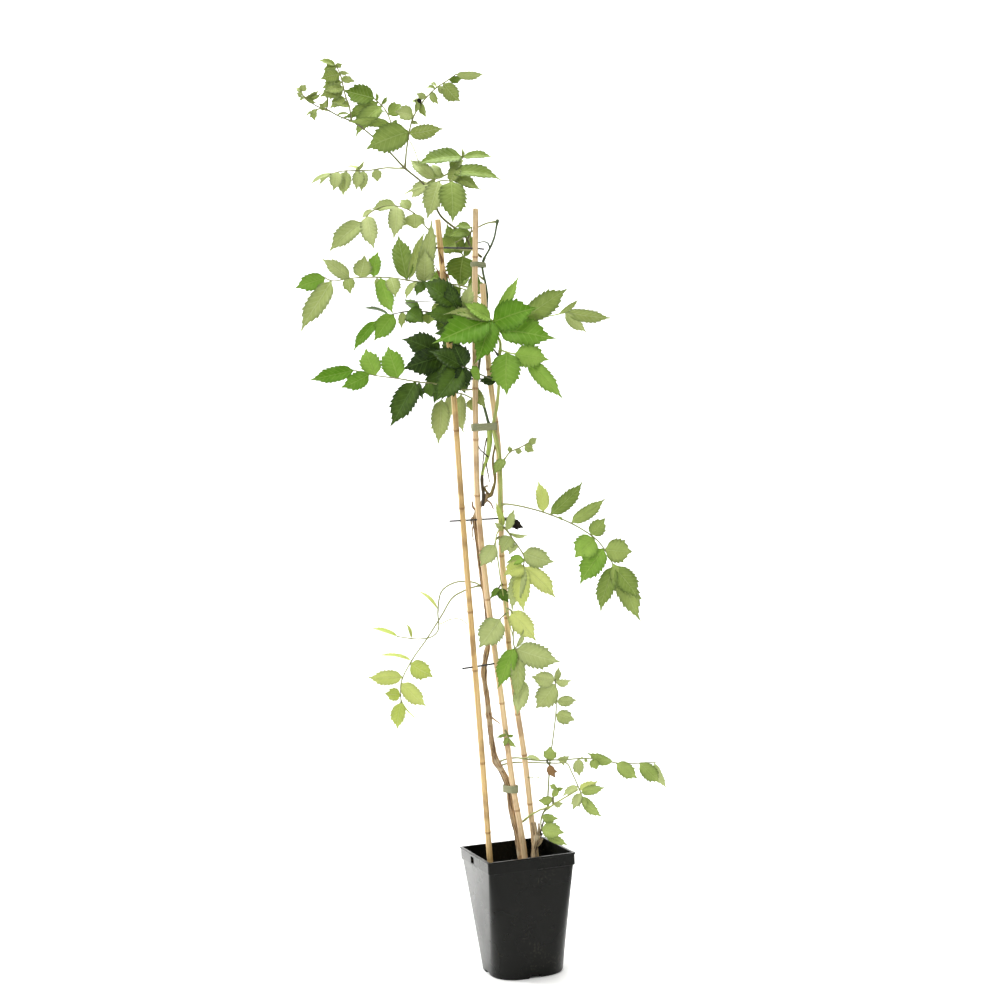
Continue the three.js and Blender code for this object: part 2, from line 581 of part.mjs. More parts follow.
    leaflets: [
      [1, -146, -12, 1038, 33, 5], [0.9, -150, -14, 988, 34, -15], [0.85, -97, 0, 925, 36, 10],
      [0.45, -48, 18, 942, 24, 10], [0.6, -70, 22, 1046, 26, 0], [0.3, -56, 26, 952, 22, 25],
      [0.7, -112, 24, 976, 26, 20],
    ],
  },
  {
    name: 'frond_dark_front', on: ['shoot_green'], look: LEAF_DARK,
    route: [[10, -7, 958], [0, -21, 962], [-16, -34, 968], [-34, -44, 977], [-50, -50, 984]],
    leaflets: [
      [0.98, -96, -54, 928, 34, 5], [0.9, -56, -56, 951, 24, -10],
      [0.55, -41, -50, 970, 20, 10], [1, -101, -60, 1008, 26, 20],
      [0.92, -61, -54, 1024, 30, -10],
    ],
  },
  {
    name: 'frond_lower_left', on: ['stem_pruned'], look: LEAF_MIDDLE,
    route: [[-25, 6, 950], [-45, -4, 948], [-62, -14, 950], [-90, -27, 958], [-121, -33, 963],
      [-154, -36, 970], [-191, -38, 977], [-224, -40, 987]],
    leaflets: [
      [1, -297, -48, 973, 21, 5], [0.88, -246, -44, 958, 23, -10], [0.83, -204, -34, 1022, 27, 5],
      [0.66, -167, -32, 1025, 31, -5], [0.52, -167, -42, 888, 32, 5], [0.5, -113, -36, 933, 10, 25],
      [0.42, -101, -34, 936, 18, 10],
    ],
  },
  {
    name: 'frond_pale_hanging', on: ['stem_pruned'], look: LEAF_LIME,
    route: [[-17, -2, 922], [-32, 6, 932], [-50, 8, 942], [-72, 12, 946], [-86, 14, 936]],
    leaflets: [
      [1, -97, 10, 859, 25, 5], [0.75, -74, 12, 893, 14, 20], [0.55, -53, 14, 876, 18, 10],
      [0.3, -37, 14, 914, 14, 15],
    ],
  },
  {
    name: 'frond_vivid_left', on: ['shoot_green'], look: LEAF_VIVID,
    route: [[6, -8, 1052], [3, -16, 1058], [-2, -22, 1060]],
    leaflets: [
      [0.9, -94, -68, 1018, 44, 5], [0.95, -76, -60, 1069, 15, 15], [0.6, -27, -42, 984, 34, -10],
      [0.7, -45, -50, 1085, 21, 25], [0.4, 54, -4, 1132, 15, 15], [0.3, 80, -38, 1072, 40, 0],
    ],
  },
  {
    name: 'frond_vivid_right', on: ['shoot_green'], look: LEAF_VIVID,
    route: [[10, -8, 1036], [24, -12, 1050], [44, -14, 1056], [69, -14, 1061], [99, -12, 1061],
      [126, -12, 1066]],
    leaflets: [
      [1, 201, -18, 1051, 18, 20], [0.98, 159, -4, 1032, 15, 20], [0.42, 131, -8, 1105, 31, 20],
      [0.9, 148, -22, 1086, 8, 30], [0.05, 107, -26, 1018, 39, -15], [0.5, 84, -2, 1084, 20, 20],
    ],
  },
  {
    name: 'frond_vivid_low', on: ['shoot_green'], look: LEAF_VIVID,
    route: [[13, -8, 1012], [18, -13, 1008], [28, -16, 1004], [42, -17, 1000], [58, -16, 990]],
    leaflets: [
      [1, 115, -20, 923, 23, 0], [0.55, 94, -22, 987, 32, 0], [0.3, 23, -26, 932, 40, 0],
    ],
  },
  {
    name: 'frond_small_pale', on: ['cane_right'], look: LEAF_LIGHT,
    route: [[7, -2, 826], [14, -10, 834], [22, -16, 843], [38, -20, 849], [52, -20, 856]],
    leaflets: [
      [1, 67, -18, 863, 10, 20], [0.9, 61, -24, 841, 12, 5],
      [0.6, 42, -14, 842, 8, 10],
    ],
  },
  {
    name: 'frond_right', on: ['shoot_green'], look: LEAF_MIDDLE,
    route: [[3, -8, 758], [11, -16, 759], [43, -36, 752], [80, -48, 739], [122, -58, 718],
      [155, -62, 692], [172, -62, 664], [179, -60, 648]],
    leaflets: [
      [0.35, 63, -40, 795, 18, 10], [0.4, 139, -48, 790, 21, 10], [0.56, 172, -52, 763, 18, 5],
      [0.72, 168, -70, 730, 22, 10], [0.75, 114, -66, 668, 33, 0], [0.85, 120, -70, 624, 30, 5],
      [0.86, 210, -58, 673, 32, 0], [0.99, 150, -64, 577, 24, 10], [1, 214, -70, 596, 28, 0],
      [0.97, 213, -54, 556, 30, -10],
    ],
  },
  {
    name: 'frond_thin_upper', on: ['stem_woody'], look: LEAF_LIME,
    route: [[-32, 6, 622], [-45, 16, 632], [-76, 20, 635], [-101, 14, 622], [-109, 6, 590],
      [-110, 4, 559], [-120, 2, 549], [-140, 0, 546], [-178, 0, 552]],
    leaflets: [
      [1, -225, -4, 567, 12, 65], [0.9, -163, 4, 574, 8, 60], [0.52, -144, 14, 626, 9, 65],
    ],
  },
  {
    name: 'frond_thin_lower', on: ['stem_woody'], look: LEAF_LIME,
    route: [[-34, 5, 628], [-44, 6, 627], [-66, -14, 621], [-83, -18, 612], [-103, -24, 583],
      [-130, -30, 545], [-152, -34, 517], [-172, -38, 481], [-174, -38, 447]],
    leaflets: [
      [0.74, -118, -40, 487, 25, 5], [0.72, -213, -34, 524, 9, 60], [0.84, -228, -42, 491, 20, 5],
      [0.88, -132, -36, 439, 22, -5], [0.96, -200, -44, 464, 18, 20], [1, -181, -36, 404, 20, 10],
    ],
  },
  {
    name: 'frond_mid_upper', on: ['cane_right', 'shoot_green'], look: LEAF_LIGHT,
    route: [[4, -1, 722], [11, -10, 715], [20, -14, 700], [28, -15, 688], [36, -16, 672], [34, -17, 655]],
    leaflets: [
      [0.15, 24, -18, 752, 12, 15], [0.3, -2, -22, 680, 22, 0], [0.72, 86, -20, 660, 27, 0],
      [0.98, 0, -34, 645, 24, 10], [0.97, 9, -24, 583, 22, 5], [1, 29, -30, 580, 24, 5],
      [0.99, 84, -14, 598, 24, -10], [0.5, 12, -28, 676, 12, 30], [0.85, 6, -26, 664, 14, 20],
    ],
  },
  {
    name: 'leaf_pale_left', on: ['cane_right'], look: LEAF_LIGHT,
    route: [[-3, 0, 706], [-8, -8, 702], [-11, -14, 694]],
    leaflets: [[1, -36, -22, 658, 22, 0]],
  },
  {
    name: 'leaf_dark_left', on: ['cane_right'], look: LEAF_DARK,
    route: [[-2, 0, 628], [-6, -9, 626], [-8, -12, 622]],
    leaflets: [[1, 7, -18, 598, 15, -10], [0.8, -22, -18, 606, 9, 20]],
  },
  {
    name: 'frond_mid_lower', on: ['cane_right'], look: LEAF_LIGHT,
    route: [[4, -1, 588], [10, -12, 586], [14, -16, 572], [12, -18, 548], [12, -18, 530], [16, -18, 520],
      [22, -18, 494], [24, -18, 473]],
    leaflets: [
      [0.11, 50, -24, 533, 27, 0], [0.61, 89, -22, 499, 33, 0], [0.59, -16, -26, 459, 24, 10],
      [0.64, 9, -32, 438, 20, -5], [1, 11, -22, 415, 21, -10],
    ],
  },
  {
    name: 'leaf_pale_low', on: ['cane_right'], look: LEAF_LIGHT,
    route: [[5, 0, 581], [-1, -10, 579], [-8, -15, 573]],
    leaflets: [[1, -46, -24, 527, 34, 0]],
  },
  {
    name: 'frond_mid_right', on: ['shoot_low'], look: LEAF_LIGHT,
    route: [[54, -20, 265], [55, -12, 280], [57, -2, 298], [60, 8, 320], [63, 14, 341], [69, 18, 372],
      [76, 18, 415], [78, 18, 445], [77, 18, 468]],
    leaflets: [
      [1, 36, 12, 474, 22, -5], [0.97, 42, 22, 419, 30, 5], [0.98, 104, 14, 466, 14, 30],
      [0.83, 112, 22, 431, 15, 5], [0.73, 107, 14, 399, 20, 5], [0.99, 84, 26, 487, 10, 20],
    ],
  },
  {
    name: 'frond_low_back', on: ['stem_woody'], look: LEAF_MIDDLE,
    route: [[-25, -2, 338], [-14, 6, 341], [-4, 7, 343], [8, 2, 344], [16, -6, 344], [27, -8, 342],
      [39, -8, 340], [55, 0, 338], [91, 10, 336], [120, 18, 335], [145, 26, 331], [164, 30, 325],
      [174, 32, 322], [201, 34, 320], [219, 36, 320], [237, 36, 319]],
    leaflets: [
      [0.35, 64, -2, 361, 18, 0], [0.4, 94, 6, 342, 13, 30], [0.53, 109, 16, 306, 15, 5],
      [0.75, 122, 22, 345, 16, -25], [0.62, 138, 26, 314, 14, 10], [0.77, 206, 34, 294, 20, -10],
      [0.91, 244, 38, 285, 21, -10], [1, 254, 38, 274, 13, 30],
    ],
  },
  {
    name: 'frond_low_front', on: ['stem_woody', 'shoot_low'], look: LEAF_MIDDLE,
    route: [[-26, -3, 333], [-18, 3, 333], [-8, 12, 334], [6, 13, 335], [18, 15, 334], [34, 16, 333],
      [45, 14, 332], [71, -4, 333], [89, -14, 333], [94, -20, 323], [101, -25, 306], [104, -27, 298],
      [107, -28, 290], [110, -29, 280]],
    leaflets: [
      [0.94, 137, -34, 306, 16, 10], [0.97, 149, -38, 296, 13, -15], [1, 141, -30, 245, 15, 15],
      [0.97, 94, -34, 260, 13, 20], [0.91, 77, -36, 284, 11, 30],
    ],
  },
  {
    name: 'frond_rim', on: ['shoot_low'], look: LEAF_MIDDLE,
    route: [[52, -22, 263], [47, -27, 259], [43, -31, 252], [41, -34, 243], [42, -35, 233], [48, -34, 220]],
    leaflets: [
      [0.36, 70, -40, 251, 14, 10], [0.7, 79, -42, 227, 22, -10], [1, 84, -36, 205, 11, -20],
    ],
  },
  {
    name: 'frond_low_small', on: ['shoot_low'], look: LEAF_MIDDLE,
    route: [[63, -23, 269], [63, -22, 280], [66, -20, 289], [69, -20, 295]],
    leaflets: [
      [0.38, 38, -22, 277, 15, -25], [0.44, 69, -24, 299, 10, 20], [1, 58, -18, 300, 8, 30],
    ],
  },
  {
    name: 'leaves_young', on: ['cane_middle'], look: LEAF_MIDDLE,
    route: [[-9, -13, 392], [-7, -17, 388], [-4, -18, 380]],
    leaflets: [
      [0.6, -24, -20, 381, 5, 30], [1, 8, -20, 364, 8, 40],
      [0.8, 5, -24, 386, 6, 30],
    ],
  },
  {
    name: 'leaf_withered_dark', on: ['cane_right'], look: LEAF_DEAD,
    route: [[6, 2, 733], [14, 0, 734], [21, -3, 731]],
    leaflets: [[1, 38, -10, 719, 13, 25], [0.9, 27, -2, 716, 8, 20]],
  },
  {
    name: 'leaf_withered_brown', on: ['frond_low_back'], look: LEAF_BROWN,
    route: [[57, 0, 339], [57, -2, 335], [60, -3, 331]],
    leaflets: [[1, 68, -6, 309, 12, 20], [0.8, 76, 0, 316, 7, 60]],
  },
];

// The stem, cane or stalk that a frond springs from, grown by the gap that is left around it.
const carrier = (name) => {
  if (CANES[name]) return cane(CANES[name].route, GAP);
  if (STEMS[name]) return grownStem(name, GAP);
  return stalk(FRONDS.find((frond) => frond.name === name).route, GAP);
};
const stalk = (route, grow = 0) => stem(route, STALK_FOOT, STALK_TIP, { sides: 3, grow });

// Cutting a stalk clear of its carrier can leave crumbs on the carrier's far side.
const largest = (body) => body.decompose()
  .reduce((best, next) => (next.volume() > best.volume() ? next : best));

// One stalk with its leaflets, in one piece, cut clear of what carries it.
function frond({ route, leaflets, on }) {
  const curve = routeCurve(route);
  const steps = route.length - 1;
  const blades = leaflets.map(([along, x, y, z, width, roll]) => {
    const step = Math.min(Math.floor(along * steps), steps - 1);
    const before = curve.getPointAt(step / steps);
    const after = curve.getPointAt((step + 1) / steps);
    const root = before.lerp(after, Math.min(along * steps - step, ROOT_LIMIT));
    const tip = new THREE.Vector3(x, y, z);
    root.addScaledVector(tip.clone().sub(root).normalize(), ROOT_OFFSET);
    return leaflet(root, tip, width, roll);
  });
  return largest(join([stalk(route), ...blades]).subtract(join(on.map(carrier))));
}

const everyCane = (grow) => Object.values(CANES).map(({ route }) => cane(route, grow));
const everyWire = (grow) => Object.values(WIRES).map((route) => wire(route, grow));

piece('pot', pot(), POT_BLACK);
const inSoil = [...everyCane(GAP), grownStem('stem_woody', GAP), rootstock(GAP)];
piece('soil', soil().subtract(join(inSoil)), SOIL_BROWN);
for (const [name, { route, look }] of Object.entries(CANES)) {
  piece(name, cane(route).subtract(join(everyWire(GAP))), look);
}
for (const [name, route] of Object.entries(WIRES)) piece(name, wire(route), WIRE_BLACK);
for (const [name, band] of Object.entries(TIES)) piece(name, band, TIE_GREY);

const woodySpurs = WOODY_SPURS.map(([route, foot, tip]) => stem(route, foot, tip));
piece('stem_woody', join([grownStem('stem_woody', 0), ...woodySpurs]), BARK);
piece('rootstock', rootstock(), BARK);
const stout = stem(...STOUT_SHOOT);
piece('stem_pruned', join([grownStem('stem_pruned', 0), stout]), LEAF_DARK);
piece('shoot_green', grownStem('shoot_green', 0), STEM_GREEN);
piece('shoot_top', grownStem('shoot_top', 0), STEM_GREEN);
piece('shoot_low', grownStem('shoot_low', 0).subtract(grownStem('stem_woody', GAP)), STEM_GREEN);
for (const each of FRONDS) piece(each.name, frond(each), each.look);

export default plant;
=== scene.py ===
"""A trumpet vine in a square nursery pot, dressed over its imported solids.

The scene is in metres, +Z up, with -Y the front. The sizes of the pieces and the tables of routes
and leaflets are in millimetres from the middle of the pot's underside, and MM turns them into
metres. The studio's floor and lights are in metres.
"""

import logging
import math
import random
from bisect import bisect_right
from dataclasses import dataclass
from enum import Enum
from typing import Callable, Iterable, Sequence

import bpy
from mathutils import Matrix, Vector, noise


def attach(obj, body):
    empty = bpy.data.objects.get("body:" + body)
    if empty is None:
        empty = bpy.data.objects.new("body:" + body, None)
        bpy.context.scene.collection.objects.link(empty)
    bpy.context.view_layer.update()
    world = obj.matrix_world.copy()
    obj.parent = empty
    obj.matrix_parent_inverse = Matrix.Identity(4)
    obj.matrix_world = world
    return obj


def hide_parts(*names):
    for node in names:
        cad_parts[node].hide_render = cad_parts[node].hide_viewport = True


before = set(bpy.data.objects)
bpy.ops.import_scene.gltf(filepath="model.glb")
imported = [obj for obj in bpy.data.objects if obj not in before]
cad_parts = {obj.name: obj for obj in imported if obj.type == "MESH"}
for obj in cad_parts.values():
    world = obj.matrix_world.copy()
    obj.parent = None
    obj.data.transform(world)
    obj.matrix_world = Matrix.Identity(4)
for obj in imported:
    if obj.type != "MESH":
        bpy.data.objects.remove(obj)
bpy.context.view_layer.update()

LOG = logging.getLogger("vine")
MM = 0.001
BODY = "root"
SEEDS = 10**6
LEAF_MAP = "leaf"
# Each leaf corner's tint holds its age, whether it is the underside, and its share of painted edge shade at
# the rim and tip.
TINT = "tint"
PLAIN_TINT = (0.5, 0.0, 0.0)
Pair = tuple[float, float]
Triple = tuple[float, float, float]
Point = Triple
Colour = Triple
Socket = bpy.types.NodeSocket


def rgb(red: float, green: float, blue: float) -> Colour:
    """Turns a colour in 0 to 255 display steps into linear light, by the sRGB curve."""
    steps = (red / 255, green / 255, blue / 255)
    return tuple(s / 12.92 if s <= 0.04045 else ((s + 0.055) / 1.055) ** 2.4 for s in steps)


# ------------------------------------------------------------------ shader building


class Nodes:
    """Adds nodes to one shader tree and links them."""

    def __init__(self, tree: bpy.types.NodeTree) -> None:
        """Keeps the tree that the nodes go into."""
        self.tree = tree

    def add(self, kind: str, **values: object) -> bpy.types.Node:
        """Adds a node and fills it in.

        Args:
            kind: The node type without its ShaderNode prefix.
            values: Properties and inputs, as the fill method takes them.

        Returns:
            The new node.
        """
        node = self.tree.nodes.new("ShaderNode" + kind)
        self.fill(node, **values)
        return node

    def fill(self, node: bpy.types.Node, **values: object) -> None:
        """Sets a node's properties, and then its inputs.

        Args:
            node: The node.
            values: Properties, or inputs by name with _ for a space, or by number as in_2.
        """
        inputs = {name: value for name, value in values.items() if not hasattr(node, name)}
        for name, value in values.items():
            if name not in inputs:
                setattr(node, name, value)
        for name, value in inputs.items():
            key = int(name[3:]) if name.startswith("in_") else name.replace("_", " ")
            self.plug(node.inputs[key], value)

    def plug(self, socket: Socket, value: object) -> None:
        """Links an input to an output, or sets it to a number or a colour.

        Args:
            socket: The input.
            value: What goes into it.
        """
        if isinstance(value, Socket):
            self.tree.links.new(value, socket)
        elif isinstance(value, tuple) and len(value) == 3 and socket.type == "RGBA":
            socket.default_value = (*value, 1.0)
        else:
            socket.default_value = value

    def math(self, operation: str, *inputs: object) -> Socket:
        """Adds a Math node and returns its result."""
        values = {f"in_{k}": value for k, value in enumerate(inputs)}
        return self.add("Math", operation=operation, **values).outputs[0]

    def mix(self, factor: object, first: object, second: object) -> Socket:
        """Mixes two colours.

        Args:
            factor: Share of the second colour.
            first: The colour at 0.
            second: The colour at 1.

        Returns:
            The mixed colour.
        """
        node = self.add("Mix", data_type="RGBA")
        for index, value in ((0, factor), (6, first), (7, second)):
            self.plug(node.inputs[index], value)
        return node.outputs[2]

    def scale(self, value: Socket, share: float) -> Socket:
        """Multiplies a value."""
        return self.math("MULTIPLY", value, share)

    def spread(self, value: Socket, low: float, high: float) -> Socket:
        """Maps 0 to 1 onto another range."""
        return self.add("MapRange", Value=value, To_Min=low, To_Max=high).outputs["Result"]

    def step(self, value: Socket, low: float, high: float) -> Socket:
        """Maps the range low to high smoothly onto 0 to 1."""
        span = {"From_Min": low, "From_Max": high}
        return self.add("MapRange", interpolation_type="SMOOTHSTEP", Value=value, **span).outputs["Result"]


class Effect(Nodes):
    """A shader node group that several materials share."""

    made: dict[str, bpy.types.NodeTree] = {}

    def __init__(self, name: str, inputs: dict[str, float], outputs: Sequence[str]) -> None:
        """Makes the empty group.

        Args:
            name: The group's name.
            inputs: Each input's name and usual value.
            outputs: The names of the values it puts out.
        """
        super().__init__(bpy.data.node_groups.new(name, "ShaderNodeTree"))
        sockets = self.tree.interface
        for label, value in inputs.items():
            socket = sockets.new_socket(label, in_out="INPUT", socket_type="NodeSocketFloat")
            socket.default_value = value
        for label in outputs:
            sockets.new_socket(label, in_out="OUTPUT", socket_type="NodeSocketFloat")
        self.given = self.tree.nodes.new("NodeGroupInput").outputs
        self.result = self.tree.nodes.new("NodeGroupOutput").inputs
        Effect.made[name] = self.tree

    def put(self, label: str, value: Socket) -> None:
        """Sends a value out of the group."""
        self.plug(self.result[label], value)


def make_mottle() -> None:
    """Uneven colour in soft patches, by place on the plant."""
    effect = Effect("mottle", {"Scale": 60.0, "Detail": 3.0, "Contrast": 2.0}, ["Value"])
    given, place = effect.given, effect.add("TexCoord").outputs["Object"]
    cloud = effect.add("TexNoise", Vector=place, Scale=given["Scale"], Detail=given["Detail"]).outputs[0]
    swing = effect.math("MULTIPLY", effect.math("SUBTRACT", cloud, 0.5), given["Contrast"])
    effect.put("Value", effect.add("Clamp", Value=effect.math("ADD", swing, 0.5)).outputs[0])


def make_veins() -> None:
    """A midrib and slanting side veins, by the leaflet's own length and width."""
    effect = Effect("veins", {"Pairs": 8.0, "Slant": 0.35, "Rib": 0.035, "Width": 0.12}, ["Line", "Pillow"])
    given, calc = effect.given, effect.math
    along = effect.add("SeparateXYZ", Vector=effect.add("UVMap", uv_map=LEAF_MAP).outputs[0]).outputs
    off = calc("ABSOLUTE", calc("SUBTRACT", along["Y"], 0.5))
    lean = calc("SUBTRACT", along["X"], calc("MULTIPLY", off, given["Slant"]))
    phase = calc("FRACT", calc("MULTIPLY", lean, given["Pairs"]))
    gap = calc("ABSOLUTE", calc("SUBTRACT", phase, 0.5))
    side = calc("SUBTRACT", 1.0, calc("DIVIDE", gap, given["Width"]))
    rib = calc("SUBTRACT", 1.0, calc("DIVIDE", off, given["Rib"]))
    edgeward = calc("SUBTRACT", 1.1, calc("MULTIPLY", off, 1.6))
    fade = calc("MULTIPLY", calc("MAXIMUM", side, 0.0), edgeward)
    line = calc("MAXIMUM", calc("MULTIPLY", fade, 0.6), rib)
    effect.put("Line", effect.add("Clamp", Value=line).outputs[0])
    effect.put("Pillow", calc("MULTIPLY", gap, 2.0))


def make_grain() -> None:
    """Fine streaks that run along a cane or a stem."""
    effect = Effect("grain", {"Around": 30.0, "Along": 2.0, "Rough": 0.6}, ["Value"])
    given, calc = effect.given, effect.math
    split = effect.add("SeparateXYZ", Vector=effect.add("UVMap", uv_map=LEAF_MAP).outputs[0]).outputs
    turn = calc("MULTIPLY", split["Y"], 2 * math.pi)
    x = calc("MULTIPLY", calc("COSINE", turn), given["Around"])
    y = calc("MULTIPLY", calc("SINE", turn), given["Around"])
    z = calc("MULTIPLY", split["X"], given["Along"])
    place = effect.add("CombineXYZ", X=x, Y=y, Z=z).outputs[0]
    streak = effect.add("TexNoise", Vector=place, Scale=1.0, Detail=4.0, Roughness=given["Rough"])
    effect.put("Value", streak.outputs[0])


def make_speckle() -> None:
    """Small scattered specks, for dust, scuffs and grit."""
    effect = Effect("speckle", {"Scale": 400.0, "Amount": 0.3}, ["Mask"])
    given, calc = effect.given, effect.math
    place = effect.add("TexCoord").outputs["Object"]
    fine = effect.add("TexNoise", Vector=place, Scale=given["Scale"], Detail=2.0).outputs[0]
    broad = effect.add("TexNoise", Vector=place, Scale=calc("MULTIPLY", given["Scale"], 0.08), Detail=3.0)
    both = calc("MULTIPLY", fine, broad.outputs[0])
    edge = calc("SUBTRACT", both, calc("SUBTRACT", 0.5, calc("MULTIPLY", given["Amount"], 0.5)))
    effect.put("Mask", effect.add("Clamp", Value=calc("MULTIPLY", edge, 6.0)).outputs[0])


class Surface(Nodes):
    """The nodes of one material, round its Principled shader."""

    def __init__(self, name: str) -> None:
        """Makes the material with only its shader and its output.

        Args:
            name: The material's name.
        """
        self.material = bpy.data.materials.new(name)
        self.material.use_nodes = True
        super().__init__(self.material.node_tree)
        self.tree.nodes.clear()
        self.shader = self.add("BsdfPrincipled")
        self.output = self.add("OutputMaterial", Surface=self.shader.outputs[0])

    def paint(self, **values: object) -> None:
        """Fills in the shader's own inputs."""
        self.fill(self.shader, **values)

    def effect(self, name: str, **values: float) -> bpy.types.NodeOutputs:
        """Places a shared effect with this material's own values and returns what it puts out."""
        return self.add("Group", node_tree=Effect.made[name], **values).outputs

    def relief(self, height: Socket, depth: float) -> None:
        """Bumps the surface by a height, to a depth in metres."""
        self.paint(Normal=self.add("Bump", Strength=1.0, Distance=depth, Height=height).outputs[0])


# ------------------------------------------------------------------ finishes


class Finish:
    """A material that is made once, by its dress method."""

    name: str
    made: dict[str, bpy.types.Material] = {}

    def material(self) -> bpy.types.Material:
        """Makes the material the first time it is asked for.

        Returns:
            This finish's material.
        """
        if self.name not in Finish.made:
            surface = Surface(self.name)
            self.dress(surface)
            Finish.made[self.name] = surface.material
        return Finish.made[self.name]

    def dress(self, surface: Surface) -> None:
        """Wires the finish's own look into the surface."""
        raise NotImplementedError


@dataclass(frozen=True)
class LeafFinish(Finish):
    """A leaf surface with veins, soft mottling, a paler underside, and a rim colour that paints edge shade
    along the margin and darkens the drip tip.
    """

    name: str
    young: Colour
    grown: Colour
    under: Colour
    vein: Colour
    # The rim colour is painted edge shade along each leaflet's margin, and the darker colour of its drip tip.
    rim: Colour
    roughness: float = 0.52
    uneven: Pair = (-0.06, 0.1)
    mottled: float = 0.25
    rim_shaded: float = 0.7
    lined: float = 0.5
    faded: float = 0.55
    pillow: float = -0.6
    relief: float = 0.0005

    def dress(self, surface: Surface) -> None:
        """Wires colour from each leaflet's tint, its mottling and its veins.

        Args:
            surface: The material's nodes.
        """
        tint = surface.add("Attribute", attribute_name=TINT, attribute_type="GEOMETRY").outputs["Color"]
        # The tint's third channel is each corner's share of painted edge shade at the margin and of darker
        # drip tip.
        age, below, rim = surface.add("SeparateColor", Color=tint).outputs
        mottle = surface.effect("mottle", Scale=90.0, Contrast=1.6)["Value"]
        veins = surface.effect("veins", Pairs=9.0)
        own, patchy = surface.scale(age, 1 - self.mottled), surface.scale(mottle, self.mottled)
        green = surface.mix(surface.math("ADD", own, patchy), self.young, self.grown)
        # Mixes in the rim colour: painted edge shade along the margin, and the darker drip tip.
        edge_shaded = surface.mix(surface.scale(rim, self.rim_shaded), green, self.rim)
        lined = surface.mix(surface.scale(veins["Line"], self.lined), edge_shaded, self.vein)
        height = surface.math("SUBTRACT", surface.scale(veins["Pillow"], self.pillow), veins["Line"])
        surface.paint(
            Base_Color=surface.mix(below, lined, surface.mix(self.faded, lined, self.under)),
            Roughness=surface.spread(mottle, *(self.roughness + step for step in self.uneven)),
            Specular_IOR_Level=0.16)
        surface.relief(height, self.relief)


@dataclass(frozen=True)
class StemFinish(Finish):
    """A smooth stem, streaked along its length."""

    name: str
    colour: Colour
    shade: Colour
    roughness: float = 0.5
    relief: float = 0.0006

    def dress(self, surface: Surface) -> None:
        """Wires two colours by the grain, with a fine ribbed relief.

        Args:
            surface: The material's nodes.
        """
        grain = surface.effect("grain", Around=1.6, Along=24.0)["Value"]
        streak = surface.step(grain, 0.35, 0.65)
        surface.paint(Base_Color=surface.mix(streak, self.shade, self.colour), Roughness=self.roughness)
        surface.relief(grain, self.relief)


@dataclass(frozen=True)
class BambooFinish(Finish):
    """Smooth bamboo skin with long streaks and darker patches."""

    name: str
    colour: Colour
    streak: Colour
    stain: Colour
    relief: float = 0.0003

    def dress(self, surface: Surface) -> None:
        """Wires the skin, its streaks and its stains.

        Args:
            surface: The material's nodes.
        """
        grain = surface.effect("grain", Around=2.4, Along=9.0)["Value"]
        mottle = surface.effect("mottle", Scale=22.0, Contrast=3.2)["Value"]
        skin = surface.mix(surface.step(grain, 0.35, 0.7), self.streak, self.colour)
        stains = surface.scale(surface.step(mottle, 0.55, 0.95), 0.6)
        stained = surface.mix(stains, skin, self.stain)
        surface.paint(Base_Color=stained, Roughness=surface.spread(grain, 0.3, 0.55))
        surface.relief(grain, self.relief)


@dataclass(frozen=True)
class BarkFinish(Finish):
    """Rough stringy bark."""

    name: str
    ridge: Colour
    crack: Colour
    lichen: Colour
    relief: float = 0.0025

    def dress(self, surface: Surface) -> None:
        """Wires pale ridges, dark cracks and a grey bloom.

        Args:
            surface: The material's nodes.
        """
        grain = surface.effect("grain", Around=2.2, Along=26.0, Rough=0.75)["Value"]
        mottle = surface.effect("mottle", Scale=45.0, Contrast=3.0)["Value"]
        body = surface.mix(surface.step(grain, 0.38, 0.62), self.crack, self.ridge)
        bloom = surface.scale(surface.step(mottle, 0.6, 1.0), 0.5)
        surface.paint(Base_Color=surface.mix(bloom, body, self.lichen), Roughness=0.85)
        surface.relief(grain, self.relief)


@dataclass(frozen=True)
class PlasticFinish(Finish):
    """Moulded plastic, slightly scuffed and dusty."""

    name: str
    colour: Colour
    dust: Colour
    roughness: float
    shine: float
    uneven: Pair = (-0.07, 0.09)
    relief: float = 0.00008

    def dress(self, surface: Surface) -> None:
        """Wires dust specks, and a sheen that comes and goes.

        Args:
            surface: The material's nodes.
        """
        specks = surface.effect("speckle", Scale=260.0, Amount=0.34)["Mask"]
        mottle = surface.effect("mottle", Scale=14.0, Contrast=2.0)["Value"]
        surface.paint(
            Base_Color=surface.mix(surface.scale(specks, 0.35), self.colour, self.dust),
            Roughness=surface.spread(mottle, *(self.roughness + step for step in self.uneven)),
            Specular_IOR_Level=self.shine)
        place = surface.add("TexCoord").outputs["Object"]
        fine = surface.add("TexNoise", Scale=1500.0, Detail=1.0, Vector=place)
        surface.relief(fine.outputs[0], self.relief)


@dataclass(frozen=True)
class SoilFinish(Finish):
    """Dark crumbly compost with pale fibres and grit."""

    name: str
    wet: Colour
    dry: Colour
    grit: Colour
    relief: float = 0.003

    def dress(self, surface: Surface) -> None:
        """Wires damp and dry crumbs with scattered grit.

        Args:
            surface: The material's nodes.
        """
        mottle = surface.effect("mottle", Scale=240.0, Detail=6.0, Contrast=2.6)["Value"]
        specks = surface.effect("speckle", Scale=700.0, Amount=0.42)["Mask"]
        crumbs = surface.mix(mottle, self.wet, self.dry)
        surface.paint(Base_Color=surface.mix(specks, crumbs, self.grit), Roughness=0.95)
        surface.relief(mottle, self.relief)


@dataclass(frozen=True)
class WireFinish(Finish):
    """Black coated wire."""

    name: str
    colour: Colour
    worn: Colour

    def dress(self, surface: Surface) -> None:
        """Wires the coating with a few worn specks.

        Args:
            surface: The material's nodes.
        """
        specks = surface.effect("speckle", Scale=900.0, Amount=0.3)["Mask"]
        coating = surface.mix(surface.scale(specks, 0.5), self.colour, self.worn)
        surface.paint(Base_Color=coating, Roughness=0.4)


